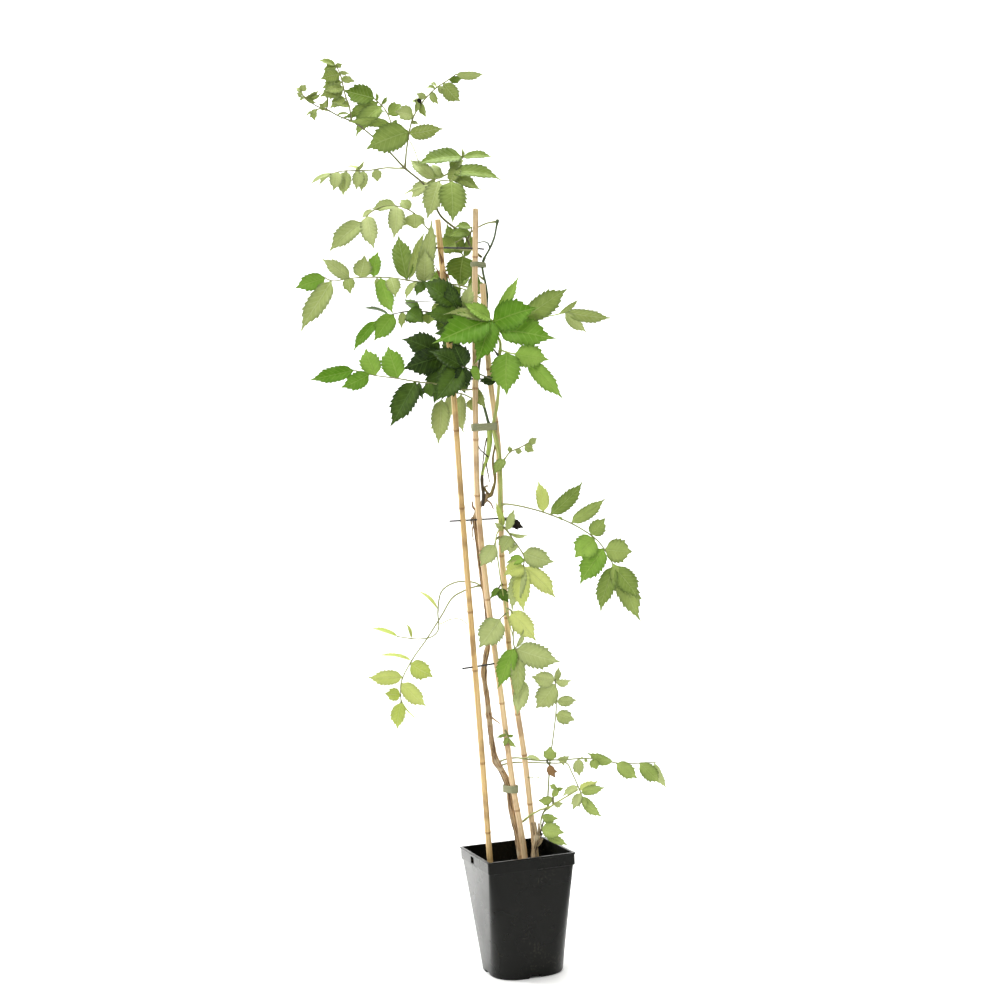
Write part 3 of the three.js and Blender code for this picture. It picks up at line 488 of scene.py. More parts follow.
@dataclass(frozen=True)
class FloorFinish(Finish):
    """A plain pale studio floor that is clear from behind."""

    name: str
    colour: Colour

    def dress(self, surface: Surface) -> None:
        """Sets the floor's plain colour and clears its back.

        Args:
            surface: The material's nodes.
        """
        surface.paint(Base_Color=self.colour, Roughness=0.9)
        behind = surface.add("NewGeometry").outputs["Backfacing"]
        clear = surface.add("BsdfTransparent").outputs[0]
        either = surface.add("MixShader", Fac=behind, in_1=surface.shader.outputs[0], in_2=clear)
        surface.fill(surface.output, Surface=either.outputs[0])


class Leaf(Enum):
    """The leaf finishes on the plant, from the pale young leaves to the withered ones."""

    # Each is the young, grown, underside, vein and rim colour; the rim colour is painted edge shade along the
    # margins and the darker drip tip.
    LIGHT = LeafFinish("leaf_light", rgb(187, 197, 133), rgb(118, 137, 49), rgb(176, 188, 133),
                       rgb(200, 212, 150), rgb(104, 118, 74))
    LIME = LeafFinish("leaf_lime", rgb(202, 210, 124), rgb(156, 176, 60), rgb(190, 204, 134),
                      rgb(210, 220, 146), rgb(140, 150, 88))
    VIVID = LeafFinish("leaf_vivid", rgb(156, 188, 84), rgb(76, 126, 2), rgb(146, 172, 92),
                       rgb(160, 190, 92), rgb(72, 104, 30))
    MIDDLE = LeafFinish("leaf_middle", rgb(170, 187, 104), rgb(82, 110, 18), rgb(144, 162, 98),
                        rgb(172, 192, 116), rgb(74, 94, 44))
    DARK = LeafFinish("leaf_dark", rgb(104, 138, 44), rgb(10, 30, 2), rgb(96, 122, 62),
                      rgb(98, 130, 60), rgb(18, 34, 12), 0.4)
    DEAD = LeafFinish("leaf_dead", rgb(48, 40, 34), rgb(20, 16, 14), rgb(44, 38, 32),
                      rgb(58, 50, 40), rgb(18, 14, 12), 0.75)
    BROWN = LeafFinish("leaf_brown", rgb(166, 132, 88), rgb(104, 74, 46), rgb(150, 116, 86),
                       rgb(190, 150, 112), rgb(84, 56, 40), 0.75)


class Skin(Enum):
    """The finishes of everything that is not a leaf."""

    STALK_LIGHT = StemFinish("stalk_light", rgb(146, 154, 90), rgb(100, 100, 60))
    STALK_GREEN = StemFinish("stalk_green", rgb(172, 190, 96), rgb(128, 152, 60))
    STEM_OLIVE = StemFinish("stem_olive", rgb(108, 112, 58), rgb(72, 68, 42))
    STALK_DARK = StemFinish("stalk_dark", rgb(84, 92, 50), rgb(56, 52, 36))
    STEM_DARK = StemFinish("stem_dark", rgb(74, 92, 46), rgb(38, 50, 28))
    STEM_BROWN = StemFinish("stem_brown", rgb(136, 122, 62), rgb(92, 76, 34))
    STEM_BURNT = StemFinish("stem_burnt", rgb(84, 70, 36), rgb(40, 32, 14))
    STEM_GREEN = StemFinish("stem_green", rgb(184, 192, 116), rgb(136, 144, 66))
    BAMBOO_GOLD = BambooFinish("bamboo_gold", rgb(222, 192, 132), rgb(190, 154, 96), rgb(136, 106, 66))
    BAMBOO_TAN = BambooFinish("bamboo_tan", rgb(226, 202, 156), rgb(202, 170, 128), rgb(152, 120, 88))
    RING_GOLD = BambooFinish("bamboo_gold_ring", rgb(178, 142, 86), rgb(150, 114, 66), rgb(112, 84, 50))
    RING_TAN = BambooFinish("bamboo_tan_ring", rgb(188, 154, 110), rgb(160, 124, 84), rgb(122, 92, 62))
    BARK = BarkFinish("bark", rgb(202, 172, 130), rgb(84, 60, 38), rgb(206, 190, 156))
    # Pale bark for the rootstock: its ridges and cracks are its own grain, pushed to painted highlight on the
    # ridges and painted shade in the cracks.
    BARK_PALE = BarkFinish("bark_pale_highlit", rgb(234, 208, 164), rgb(78, 54, 32), rgb(226, 212, 178))
    PLASTIC = PlasticFinish("pot", rgb(8, 9, 6), rgb(62, 60, 48), 0.26, 0.16)
    TAPE = PlasticFinish("tie", rgb(130, 133, 98), rgb(184, 186, 152), 0.5, 0.4)
    SOIL = SoilFinish("soil", rgb(34, 26, 20), rgb(72, 54, 40), rgb(146, 128, 104))
    WIRE = WireFinish("wire", rgb(34, 31, 29), rgb(96, 88, 80))
    FLOOR = FloorFinish("studio_floor", rgb(246, 246, 244))


# ------------------------------------------------------------------ routes and meshes


class Route:
    """A smooth centripetal curve through points in millimetres, measured along its length."""

    STEPS = 12
    SMALLEST_GAP = 1e-3
    LOOK = 0.01

    def __init__(self, points: Sequence[Point]) -> None:
        """Works out closely spaced places along the curve and the length to each.

        Args:
            points: What the curve runs through.
        """
        knots = [Vector(p) for p in points]
        knots = [2 * knots[0] - knots[1], *knots, 2 * knots[-1] - knots[-2]]
        self.places = []
        for before, start, end, after in zip(knots, knots[1:], knots[2:], knots[3:]):
            pairs = ((before, start), (start, end), (end, after))
            gaps = [max((b - a).length ** 0.5, self.SMALLEST_GAP) for a, b in pairs]
            leave = self._slope(before, start, end, gaps[0], gaps[1]) * gaps[1]
            arrive = self._slope(start, end, after, gaps[1], gaps[2]) * gaps[1]
            for step in range(self.STEPS):
                t = step / self.STEPS
                self.places.append(
                    start * (2 * t**3 - 3 * t**2 + 1) + leave * (t**3 - 2 * t**2 + t)
                    + end * (3 * t**2 - 2 * t**3) + arrive * (t**3 - t**2))
        self.places.append(knots[-2])
        self.lengths = [0.0]
        for a, b in zip(self.places, self.places[1:]):
            self.lengths.append(self.lengths[-1] + (b - a).length)
        self.length = self.lengths[-1]

    @staticmethod
    def _slope(a: Vector, b: Vector, c: Vector, first: float, second: float) -> Vector:
        """Slope of the curve at b for uneven spacing."""
        return (b - a) / first - (c - a) / (first + second) + (c - b) / second

    def at(self, share: float) -> Vector:
        """Finds a place on the curve.

        Args:
            share: Share of the length, from 0 to 1.

        Returns:
            The place there.
        """
        goal = min(max(share, 0.0), 1.0) * self.length
        low = min(max(bisect_right(self.lengths, goal) - 1, 0), len(self.places) - 2)
        span = max(self.lengths[low + 1] - self.lengths[low], 1e-9)
        return self.places[low].lerp(self.places[low + 1], (goal - self.lengths[low]) / span)

    def length_at_height(self, height: float) -> float:
        """Returns the length along the curve to its nearest place to a height."""
        nearest = min(range(len(self.places)), key=lambda k: abs(self.places[k].z - height))
        return self.lengths[nearest]

    def heading(self, share: float) -> Vector:
        """Returns the direction of the curve at a share of its length."""
        return (self.at(share + self.LOOK) - self.at(share - self.LOOK)).normalized()


class Shape:
    """Collects the faces of one piece, each with its place on the leaf map, tint and finish."""

    END_CLEAR = 0.3

    def __init__(self) -> None:
        """Starts with no faces."""
        self.points: list[Vector] = []
        self.faces: list[tuple[int, ...]] = []
        self.maps: list[tuple[Pair, ...]] = []
        self.tints: list[tuple[Colour, ...]] = []
        self.slots: list[int] = []
        self.creases: list[tuple[int, int]] = []

    def face(self, corners: Sequence[int], uv: Sequence[Pair] = (), slot: int = 0,
             tints: Sequence[Colour] = ()) -> None:
        """Adds one face.

        Args:
            corners: The numbers of its points, in order.
            uv: The place of each corner on the leaf map.
            slot: The finish's place on the piece.
            tints: The tint of each corner.
        """
        self.faces.append(tuple(corners))
        self.maps.append(tuple(uv) or ((0.0, 0.0),) * len(corners))
        self.tints.append(tuple(tints) or (PLAIN_TINT,) * len(corners))
        self.slots.append(slot)

    def tube(self, route: Route, radius: Callable[[float, float], float], sides: int, spacing: float,
             slot: Callable[[float], int] | int = 0, extra: Iterable[float] = ()) -> None:
        """Adds a closed tube along a route.

        Args:
            route: The centre line.
            radius: Gives the radius in millimetres from the length so far and the turn in radians.
            sides: How many sides the tube has.
            spacing: Length of one step along the route in millimetres.
            slot: The finish's place on the piece, or a function of the length so far.
            extra: More lengths at which the tube has a ring.
        """
        slot_at = slot if callable(slot) else (lambda _: slot)
        count = max(2, math.ceil(route.length / spacing))
        rings = {round(route.length * k / count, 3) for k in range(count + 1)}
        last = route.length - self.END_CLEAR
        stops = sorted(rings | {round(e, 3) for e in extra if self.END_CLEAR < e < last})
        side = route.heading(0).orthogonal().normalized()
        first = len(self.points)
        for stop in stops:
            centre, heading = route.at(stop / route.length), route.heading(stop / route.length)
            side = (side - heading * side.dot(heading)).normalized()
            other = heading.cross(side)
            for k in range(sides):
                turn = 2 * math.pi * k / sides
                out = radius(stop, turn)
                self.points.append(centre + (side * math.cos(turn) + other * math.sin(turn)) * out)
        for step, (low, high) in enumerate(zip(stops, stops[1:])):
            u, w = low * MM, high * MM
            for k in range(sides):
                a = first + step * sides + k
                b = first + step * sides + (k + 1) % sides
                v, x = k / sides, (k + 1) / sides
                self.face((a, b, b + sides, a + sides), ((u, v), (u, x), (w, x), (w, v)),
                          slot_at((low + high) / 2))
        for ring, flip, stop in ((first, True, 0.0), (first + (len(stops) - 1) * sides, False, route.length)):
            corners = tuple(range(ring, ring + sides))
            self.face(corners[::-1] if flip else corners, slot=slot_at(stop))
            self.creases += [(corners[k], corners[(k + 1) % sides]) for k in range(sides)]

    def band(self, rings: Sequence[Sequence[Vector]], slot: int = 0) -> None:
        """Adds a closed band whose last ring joins its first.

        Args:
            rings: Rings of equal length.
            slot: The finish's place on the piece.
        """
        first, sides, count = len(self.points), len(rings[0]), len(rings)
        self.points.extend(p for ring in rings for p in ring)
        for r in range(count):
            for k in range(sides):
                a, b = (first + r * sides + (k + j) % sides for j in (0, 1))
                c, d = (first + (r + 1) % count * sides + (k + j) % sides for j in (1, 0))
                self.face((a, b, c, d), slot=slot)

    def loft(self, rings: Sequence[Sequence[Vector]]) -> None:
        """Adds a closed skin over rings, with both ends capped.

        Args:
            rings: Rings of equal length, from the lowest up.
        """
        first, sides = len(self.points), len(rings[0])
        self.points.extend(p for ring in rings for p in ring)
        for r in range(len(rings) - 1):
            for k in range(sides):
                a, b = first + r * sides + k, first + r * sides + (k + 1) % sides
                self.face((a, b, b + sides, a + sides))
        last = first + (len(rings) - 1) * sides
        self.face(tuple(reversed(range(first, first + sides))))
        self.face(tuple(range(last, last + sides)))

    def build(self, name: str, finishes: Sequence[Enum]) -> bpy.types.Object:
        """Makes the Blender object.

        Args:
            name: The piece's name.
            finishes: The finishes in the order of the faces' slots.

        Returns:
            The object, at the origin, in the scene.
        """
        mesh = bpy.data.meshes.new(name)
        mesh.from_pydata([p * MM for p in self.points], [], self.faces)
        mesh.uv_layers.new(name=LEAF_MAP)
        mesh.color_attributes.new(TINT, "FLOAT_COLOR", "CORNER")
        places = [value for uv in self.maps for place in uv for value in place]
        colours = [value for tints in self.tints for tint in tints for value in (*tint, 1.0)]
        mesh.uv_layers[LEAF_MAP].data.foreach_set("uv", places)
        mesh.color_attributes[TINT].data.foreach_set("color", colours)
        mesh.polygons.foreach_set("material_index", self.slots)
        mesh.polygons.foreach_set("use_smooth", [True] * len(self.faces))
        if self.creases:
            wanted = {tuple(sorted(edge)) for edge in self.creases}
            for edge in mesh.edges:
                edge.use_edge_sharp = tuple(sorted(edge.vertices)) in wanted
        for finish in finishes:
            mesh.materials.append(finish.value.material())
        mesh.validate()
        piece = bpy.data.objects.new(name, mesh)
        bpy.context.scene.collection.objects.link(piece)
        return piece


def settle(piece: bpy.types.Object, node: str) -> None:
    """Puts a piece on the plant in place of its solid, and reports it.

    Args:
        piece: The new piece.
        node: The solid that it stands for.
    """
    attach(piece, BODY)
    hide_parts(node)
    LOG.info("%s: %d faces", piece.name, len(piece.data.polygons))


# ------------------------------------------------------------------ the pot and its compost


Ring = Triple  # side, radius of the corners and height


def square_ring(side: float, corner: float, height: float, count: int) -> list[Vector]:
    """Points round a square with rounded corners.

    Args:
        side: Length of a side in millimetres.
        corner: Radius of the corners.
        height: Height of the ring.
        count: Points on each corner.

    Returns:
        The points, anticlockwise from above.
    """
    ring = []
    for quarter in range(4):
        heading = quarter * math.pi / 2
        centre = Matrix.Rotation(heading, 2) @ Vector((side / 2 - corner, side / 2 - corner))
        for step in range(count):
            turn = heading + math.pi / 2 * step / (count - 1)
            x, y = centre.x + corner * math.cos(turn), centre.y + corner * math.sin(turn)
            ring.append(Vector((x, y, height)))
    return ring


def turned(points: Iterable[Vector], degrees: float) -> list[Vector]:
    """Turns points about the upright axis."""
    about = Matrix.Rotation(math.radians(degrees), 3, "Z")
    return [about @ p for p in points]


@dataclass
class NurseryPot:
    """The square moulded pot, with its collar, drain channels and label slot."""

    top_side: float = 150
    base_side: float = 123
    height: float = 195
    wall: float = 2
    yaw: float = 19.15
    rim_corner: float = 5
    base_corner: float = 45
    collar: float = 19
    collar_proud: float = 1.6
    collar_ease: Pair = (0.8, 0.6)
    lip: float = 3
    lip_proud: float = 1.2
    lip_ease: Triple = (0.4, 1.2, 0.8)
    rim_round: tuple[Pair, ...] = ((0, 0.7), (0.5, 0.2), (1.4, 0))
    mouth: tuple[Pair, ...] = ((0, -0.8), (1.2, 0.1), (1.2, 2))
    foot_round: float = 6
    floor_top: float = 8
    channel_from: float = 34
    channel_width: float = 21
    channel_rise: float = 5
    drain: float = 10
    label_width: float = 15
    label_tall: float = 11
    label_drop: float = 11
    label_along: float = 10
    corner_points: int = 12
    foot_steps: int = 4
    wall_steps: int = 7
    inside_steps: int = 6
    drain_step: int = 15
    corner_ease: float = 2
    drain_top: float = 32
    cutter_reach: float = 10
    cutter_foot: float = -3
    sharp_angle: float = 28

    @property
    def collar_foot(self) -> float:
        """Height of the collar's lower edge."""
        return self.height - self.collar

    @property
    def wall_side(self) -> float:
        """Side of the wall just below the collar."""
        return self.top_side - 2 * self.lip_proud - 2 * self.collar_proud

    def wall_at(self, height: float) -> Pair:
        """Measures the outside of the wall.

        Args:
            height: Where it is measured.

        Returns:
            Its side and the radius of its corners.
        """
        up = (height - self.foot_round) / (self.collar_foot - self.foot_round)
        side = self.base_side + (self.wall_side - self.base_side) * up
        return side, self.base_corner + (self.rim_corner + self.corner_ease - self.base_corner) * up

    def _solid(self, name: str, rings: Sequence[Ring]) -> bpy.types.Object:
        """Makes a closed block.

        Args:
            name: The block's name.
            rings: Its rings, as side, corner and height.

        Returns:
            The block.
        """
        shape = Shape()
        shape.loft([turned(square_ring(*ring, self.corner_points), self.yaw) for ring in rings])
        return shape.build(name, [Skin.PLASTIC])

    def _outside(self) -> list[Ring]:
        """Shapes the outside, from the underside to the rounded rim.

        Returns:
            Its rings, as side, corner and height.
        """
        side, corner = self.wall_at(self.foot_round)
        rings = []
        for k in range(self.foot_steps + 1):
            turn = math.pi / 2 * k / self.foot_steps
            inset = self.foot_round * (1 - math.sin(turn))
            rings.append((side - inset, corner - inset / 2, self.foot_round * (1 - math.cos(turn))))
        for k in range(1, self.wall_steps + 1):
            height = self.foot_round + (self.collar_foot - 1 - self.foot_round) * k / self.wall_steps
            rings.append((*self.wall_at(height), height))
        wide, top, under = self.top_side, self.height, self.height - self.lip
        narrow = wide - 2 * self.lip_proud
        (back, drop), (below, out, above) = self.collar_ease, self.lip_ease
        steps = [(narrow - back, self.collar_foot - drop), (narrow, self.collar_foot),
                 (narrow, under - below), (narrow + out * self.lip_proud, under), (wide, under + above),
                 *((wide - inset, top - sunk) for inset, sunk in self.rim_round)]
        return rings + [(side, self.rim_corner, height) for side, height in steps]

    def _inside(self) -> list[Ring]:
        """Shapes the hollow, from the floor to above the rim.

        Returns:
            Its rings, as side, corner and height.
        """
        rings = []
        for k in range(self.inside_steps + 1):
            height = self.floor_top + (self.collar_foot - self.floor_top) * k / self.inside_steps
            side, corner = self.wall_at(height)
            rings.append((side - 2 * self.wall, corner - self.wall, height))
        inner = self.wall_side - 2 * self.wall
        return rings + [(inner + out, self.rim_corner, self.height + up) for out, up in self.mouth]

    def _cut(self, pot: bpy.types.Object, tool: bpy.types.Object) -> None:
        """Cuts a tool out of the pot and deletes the tool.

        Args:
            pot: The pot so far.
            tool: A closed block.
        """
        cutting = pot.modifiers.new("cut", "BOOLEAN")
        cutting.operation, cutting.solver, cutting.object = "DIFFERENCE", "EXACT", tool
        with bpy.context.temp_override(object=pot, active_object=pot):
            bpy.ops.object.modifier_apply(modifier=cutting.name)
        bpy.data.objects.remove(tool)

    def _bore(self, pot: bpy.types.Object, outline: Sequence[Sequence[float]],
              low: float, high: float) -> None:
        """Cuts an upright prism that turns with the pot.

        Args:
            pot: The pot so far.
            outline: The prism's corners, before it is turned.
            low: Height of its foot.
            high: Height of its top.
        """
        shape = Shape()
        shape.loft([turned([Vector((x, y, z)) for x, y in outline], self.yaw) for z in (low, high)])
        self._cut(pot, shape.build("cutter", [Skin.PLASTIC]))

    def _drains(self, pot: bpy.types.Object) -> None:
        """Cuts a channel under each side, with a round hole up through the floor.

        Args:
            pot: The pot so far.
        """
        near, far, half = self.channel_from, self.base_side / 2 + self.cutter_reach, self.channel_width / 2
        middle, radius = near + self.drain, self.drain / 2
        for quarter in range(4):
            about = Matrix.Rotation(quarter * math.pi / 2, 2)
            sides = [(near, -half), (far, -half), (far, half), (near, half)]
            self._bore(pot, [about @ Vector(p) for p in sides], self.cutter_foot, self.channel_rise)
            turns = [math.radians(a) for a in range(0, 360, self.drain_step)]
            circle = [(middle + radius * math.cos(t), radius * math.sin(t)) for t in turns]
            self._bore(pot, [about @ Vector(p) for p in circle], self.cutter_foot, self.drain_top)

    def _label_slot(self, pot: bpy.types.Object) -> None:
        """Cuts the label slot through the collar.

        Args:
            pot: The pot so far.
        """
        near, far = (-self.top_side / 2 + side * self.cutter_reach for side in (-1, 1))
        low, high = self.label_along - self.label_width / 2, self.label_along + self.label_width / 2
        middle = self.height - self.label_drop
        self._bore(pot, [(near, low), (far, low), (far, high), (near, high)],
                   middle - self.label_tall / 2, middle + self.label_tall / 2)

    def build(self) -> None:
        """Builds the pot, cuts its openings and puts it in place."""
        pot = self._solid("nursery_pot", self._outside())
        self._cut(pot, self._solid("hollow", self._inside()))
        self._drains(pot)
        self._label_slot(pot)
        pot.data.shade_smooth()
        pot.data.set_sharp_from_angle(angle=math.radians(self.sharp_angle))
        settle(pot, "pot")


@dataclass
class Compost:
    """The compost in the pot, with a crumbly top."""

    pot: NurseryPot
    top: float = 152
    mound: float = 4
    sink: float = 1.5
    shoulder: float = 4
    rings: int = 20
    corner_points: int = 16
    wall_gap: float = 0.7
    floor_gap: float = 0.3
    lump_sizes: tuple[Pair, ...] = ((2.2, 0.11), (1.3, 0.37))
    crumbs: int = 170
    crumb_sizes: Pair = (1.4, 4.2)
    crumb_reach: float = 0.92
    crumb_spans: tuple[Pair, ...] = ((0.7, 1.5), (0.7, 1.2), (0.5, 0.9))
    crumb_tilts: tuple[float, ...] = (-70, -25, 25, 70)
    crumb_sides: int = 6
    crumb_wear: Pair = (0.8, 1.1)
    seed: int = 7

    def _ring(self, height: float, share: float = 1.0) -> list[Vector]:
        """Lays a ring inside the wall.

        Args:
            height: Height of the ring.
            share: Its size as a share of the hollow's.

        Returns:
            The ring's points.
        """
        side, corner = self.pot.wall_at(height)
        wide = side - 2 * (self.pot.wall + self.wall_gap)
        ring = square_ring(wide * share, (corner - self.pot.wall) * share, height, self.corner_points)
        return turned(ring, self.pot.yaw)

    def build(self) -> None:
        """Builds the block with its uneven top and loose crumbs."""
        levels = (self.pot.floor_top + self.floor_gap, self.pot.collar_foot / 2, self.top - self.shoulder)
        stack = [self._ring(height) for height in levels]
        for k in range(self.rings):
            share = 1 - k / self.rings
            stack.append([self._lumpy(p, share) for p in self._ring(self.top, share)])
        shape = Shape()
        shape.loft(stack)
        self._scatter(shape)
        soil = shape.build("compost", [Skin.SOIL])
        settle(soil, "soil")

    def _lumpy(self, place: Vector, share: float) -> Vector:
        """Raises a point of the top by the mound and by two sizes of lump."""
        rough = sum(rise * noise.noise(place * scale) for rise, scale in self.lump_sizes)
        return place + Vector((0, 0, self.mound * (1 - share**2) + rough - self.sink))

    def _scatter(self, shape: Shape) -> None:
        """Scatters loose crumbs that sit in the surface.

        Args:
            shape: The shape that takes their faces.
        """
        reach = (self.pot.wall_at(self.top)[0] - 2 * (self.pot.wall + self.wall_gap)) / 2
        chance = random.Random(self.seed)
        for _ in range(self.crumbs):
            x, y = (chance.uniform(-reach, reach) * self.crumb_reach for _ in range(2))
            spot = turned([Vector((x, y, self.top))], self.pot.yaw)[0]
            centre = self._lumpy(spot, max(abs(x), abs(y)) / reach)
            self._crumb(shape, centre, chance.uniform(*self.crumb_sizes), chance)

    def _crumb(self, shape: Shape, centre: Vector, size: float, chance: random.Random) -> None:
        """Adds one irregular crumb.

        Args:
            shape: The shape that takes its faces.
            centre: Its middle.
            size: Its radius before it is stretched.
            chance: Where its unevenness comes from.
        """
        wide, deep, tall = (size * chance.uniform(*span) for span in self.crumb_spans)
        turns = [2 * math.pi * k / self.crumb_sides for k in range(self.crumb_sides)]
        rings = []
        for tilt in self.crumb_tilts:
            out, up = math.cos(math.radians(tilt)), math.sin(math.radians(tilt))
            rings.append([
                centre + Vector((wide * out * math.cos(t), deep * out * math.sin(t), tall * up))
                * chance.uniform(*self.crumb_wear) for t in turns])
        shape.loft(rings)


# ------------------------------------------------------------------ canes, wires and ties


def swelling(along: float, bumps: Iterable[Triple]) -> float:
    """Adds up soft bumps, each its place, its rise and its reach along a stem."""
    return sum(rise * math.exp(-((along - at) / reach) ** 2) for at, rise, reach in bumps)


@dataclass
class Cane:
    """A bamboo cane with raised rings where its joints are."""

    name: str
    skin: Skin
    ring_skin: Skin
    slot: str
    route: tuple[Point, ...]
    joints: tuple[float, ...]
    diameter: float = 10
    sides: int = 22
    spacing: float = 14
    slack: float = 0.25
    ring: Pair = (0.5, 2.4)
    groove: Pair = (-0.275, 0.9)
    groove_drop: float = 2.6
    ring_steps: tuple[float, ...] = (-7, -4.5, -3.6, -2.8, -2, -1, 0, 1, 2.2, 4, 7)
    stained: Pair = (-3.4, 0.4)
    waver: float = 0.22
    waver_pitch: float = 0.02
    waver_scale: float = 1.3
    pith: tuple[Pair, ...] = ((1.7, -0.05), (3.9, -0.05), (3.7, 0.5), (2.0, 0.5), (1.7, 0.1))
    pith_sides: int = 18

    def build(self) -> None:
        """Builds the cane with its joints and the hollow in its cut top."""
        route = Route(self.route)
        joints = [route.length_at_height(z) for z in self.joints]
        bumps = [bump for j in joints for bump in ((j, *self.ring), (j - self.groove_drop, *self.groove))]

        def radius(along: float, turn: float) -> float:
            """Radius with a raised ring at each joint and a groove below it."""
            place = Vector((math.cos(turn), math.sin(turn), along * self.waver_pitch)) * self.waver_scale
            return self.diameter / 2 - self.slack + swelling(along, bumps) + self.waver * noise.noise(place)

        near = [j + step for j in joints for step in self.ring_steps]
        low, high = self.stained
        shape = Shape()
        shape.tube(route, radius, self.sides, self.spacing, extra=near,
                   slot=lambda along: int(any(low < along - j < high for j in joints)))
        self._hollow(shape, route)
        cane = shape.build(self.name + "_bamboo", [self.skin, self.ring_skin])
        settle(cane, self.name)

    def _hollow(self, shape: Shape, route: Route) -> None:
        """Adds the rim round the dark pith hole in the cut top.

        Args:
            shape: The shape that takes its faces.
            route: The cane's centre line.
        """
        top, heading = route.at(1), route.heading(1)
        side = heading.orthogonal().normalized()
        other = heading.cross(side)
        turns = [2 * math.pi * k / self.pith_sides for k in range(self.pith_sides)]
        shape.band([[top + heading * up + (side * math.cos(t) + other * math.sin(t)) * out for t in turns]
                    for out, up in self.pith], 1)


@dataclass
class Wire:
    """A spreader wire through the canes."""

    name: str
    route: tuple[Point, ...]
    diameter: float = 3
    end: float = 1.2
    nib: float = 0.5
    blunt: float = 0.35
    sides: int = 10
    spacing: float = 5

    def build(self) -> None:
        """Builds the wire with softly rounded ends."""
        route = Route(self.route)

        def radius(along: float, _: float) -> float:
            """Radius that rounds off at the two ends."""
            share = min(max(min(along, route.length - along), 0.0) / self.end, 1)
            return self.diameter / 2 * (self.blunt + (1 - self.blunt) * share ** 0.5)

        shape = Shape()
        ends = (self.nib, self.end, route.length - self.end, route.length - self.nib)
        shape.tube(route, radius, self.sides, self.spacing, extra=ends)
        wire = shape.build(self.name + "_rod", [Skin.WIRE])
        settle(wire, self.name)


@dataclass
class Tie:
    """A strip of soft tape drawn round a cane and what it holds."""

    name: str
    first: Triple
    second: Triple
    height: float
    width: float = 12
    thickness: float = 1.0
    crumple: float = 0.35
    around: int = 56
    gap: float = 0.4
    rows: int = 8
    edge_share: float = 0.8
    ridges: Pair = (0.25, 1.7)
    outer_from: float = 0.6
    puff_scale: Pair = (0.35, 0.5)
    puff_least: float = -0.2
    puff_out: float = 0.1
    edge_wave: float = 0.72
    wave_pitch: float = 1.6
    wave_row: float = 5.0

    def _outline(self, offset: float, height: float) -> list[Vector]:
        """Lays a ring round both things.

        Args:
            offset: How far the ring stands off them.
            height: Its height above the tie's middle.

        Returns:
            The ring's points.
        """
        points = []
        flat, up = self.puff_scale
        for k in range(self.around):
            turn = 2 * math.pi * k / self.around
            away = Vector((math.cos(turn), math.sin(turn), 0))
            _, x, y, r = max((x * away.x + y * away.y + r, x, y, r) for x, y, r in (self.first, self.second))
            spot = Vector((x, y, 0)) + away * (r + offset)
            puff = noise.noise(Vector((spot.x * flat, spot.y * flat, height * up))) * self.crumple
            out = away * (max(puff, self.puff_least) + self.puff_out if offset > self.outer_from else 0)
            lane = Vector((turn * self.wave_pitch, self.wave_row, self.height))
            wave = abs(noise.noise(lane)) * self.edge_wave
            ragged = wave * height / (self.width / 2)
            points.append(spot + out + Vector((0, 0, self.height + height - ragged)))
        return points

    def build(self) -> None:
        """Builds the strip as one closed band."""
        half, inner, edge = self.width / 2, self.gap, self.gap + self.thickness * self.edge_share
        rise, pitch = self.ridges
        outer = [(inner + self.thickness * (1 + rise * math.cos(k * pitch)),
                  -half + self.width * k / self.rows) for k in range(1, self.rows)]
        profile = [(inner, -half), (edge, -half), *outer, (edge, half), (inner, half)]
        shape = Shape()
        shape.band([self._outline(offset, height) for offset, height in profile])
        tie = shape.build(self.name + "_tape", [Skin.TAPE])
        settle(tie, self.name)


# ------------------------------------------------------------------ stems


@dataclass
class Branch:
    """One length of stem, with where it swells.

    A swelling is its height, how much it adds to the radius and its reach along the stem. A band is
    its lower and upper height and the finish between them.
    """

    route: tuple[Point, ...]
    foot: float
    tip: float
    swellings: tuple[Triple, ...] = ()
    skin: int = 0
    bands: tuple[tuple[float, float, int], ...] = ()
    lump_scale: Pair = (1.5, 0.055)
    fine_lumps: Pair = (0.5, 3.1)
    strand_scale: Pair = (2.2, 0.03)
    strand_wander: float = 3
    strand_row: float = 4.0
    strand_share: float = 0.4

    def add(self, shape: Shape, rough: float, sides: int, spacing: float) -> None:
        """Adds the branch to a shape.

        Args:
            shape: The shape that takes its faces.
            rough: Share of the radius that the surface is broken by.
            sides: Sides of the tube.
            spacing: Length of one step in millimetres.
        """
        route = Route(self.route)
        length_at = route.length_at_height
        bands = [(length_at(low), length_at(high), skin) for low, high, skin in self.bands]
        bulges = [(length_at(z), more, reach) for z, more, reach in self.swellings]
        (across, up), (share, finer), (pitch, climb) = self.lump_scale, self.fine_lumps, self.strand_scale

        def radius(along: float, turn: float) -> float:
            """Works out the tapering radius, with its swellings and its ridges.

            Args:
                along: Length so far.
                turn: Turn round the branch in radians.

            Returns:
                The radius.
            """
            base = (self.foot + (self.tip - self.foot) * along / route.length) / 2 + swelling(along, bulges)
            around = Vector((math.cos(turn) * across, math.sin(turn) * across, along * up))
            lane = turn * pitch + self.strand_wander * math.sin(turn)
            strands = noise.noise(Vector((lane, along * climb, self.strand_row)))
            broken = noise.noise(around) + share * noise.noise(around * finer) + self.strand_share * strands
            return base * (1 + rough * broken)

        def finish(along: float) -> int:
            """Place of the finish at a length."""
            return next((skin for low, high, skin in bands if low <= along < high), self.skin)

        shape.tube(route, radius, sides, spacing, slot=finish)


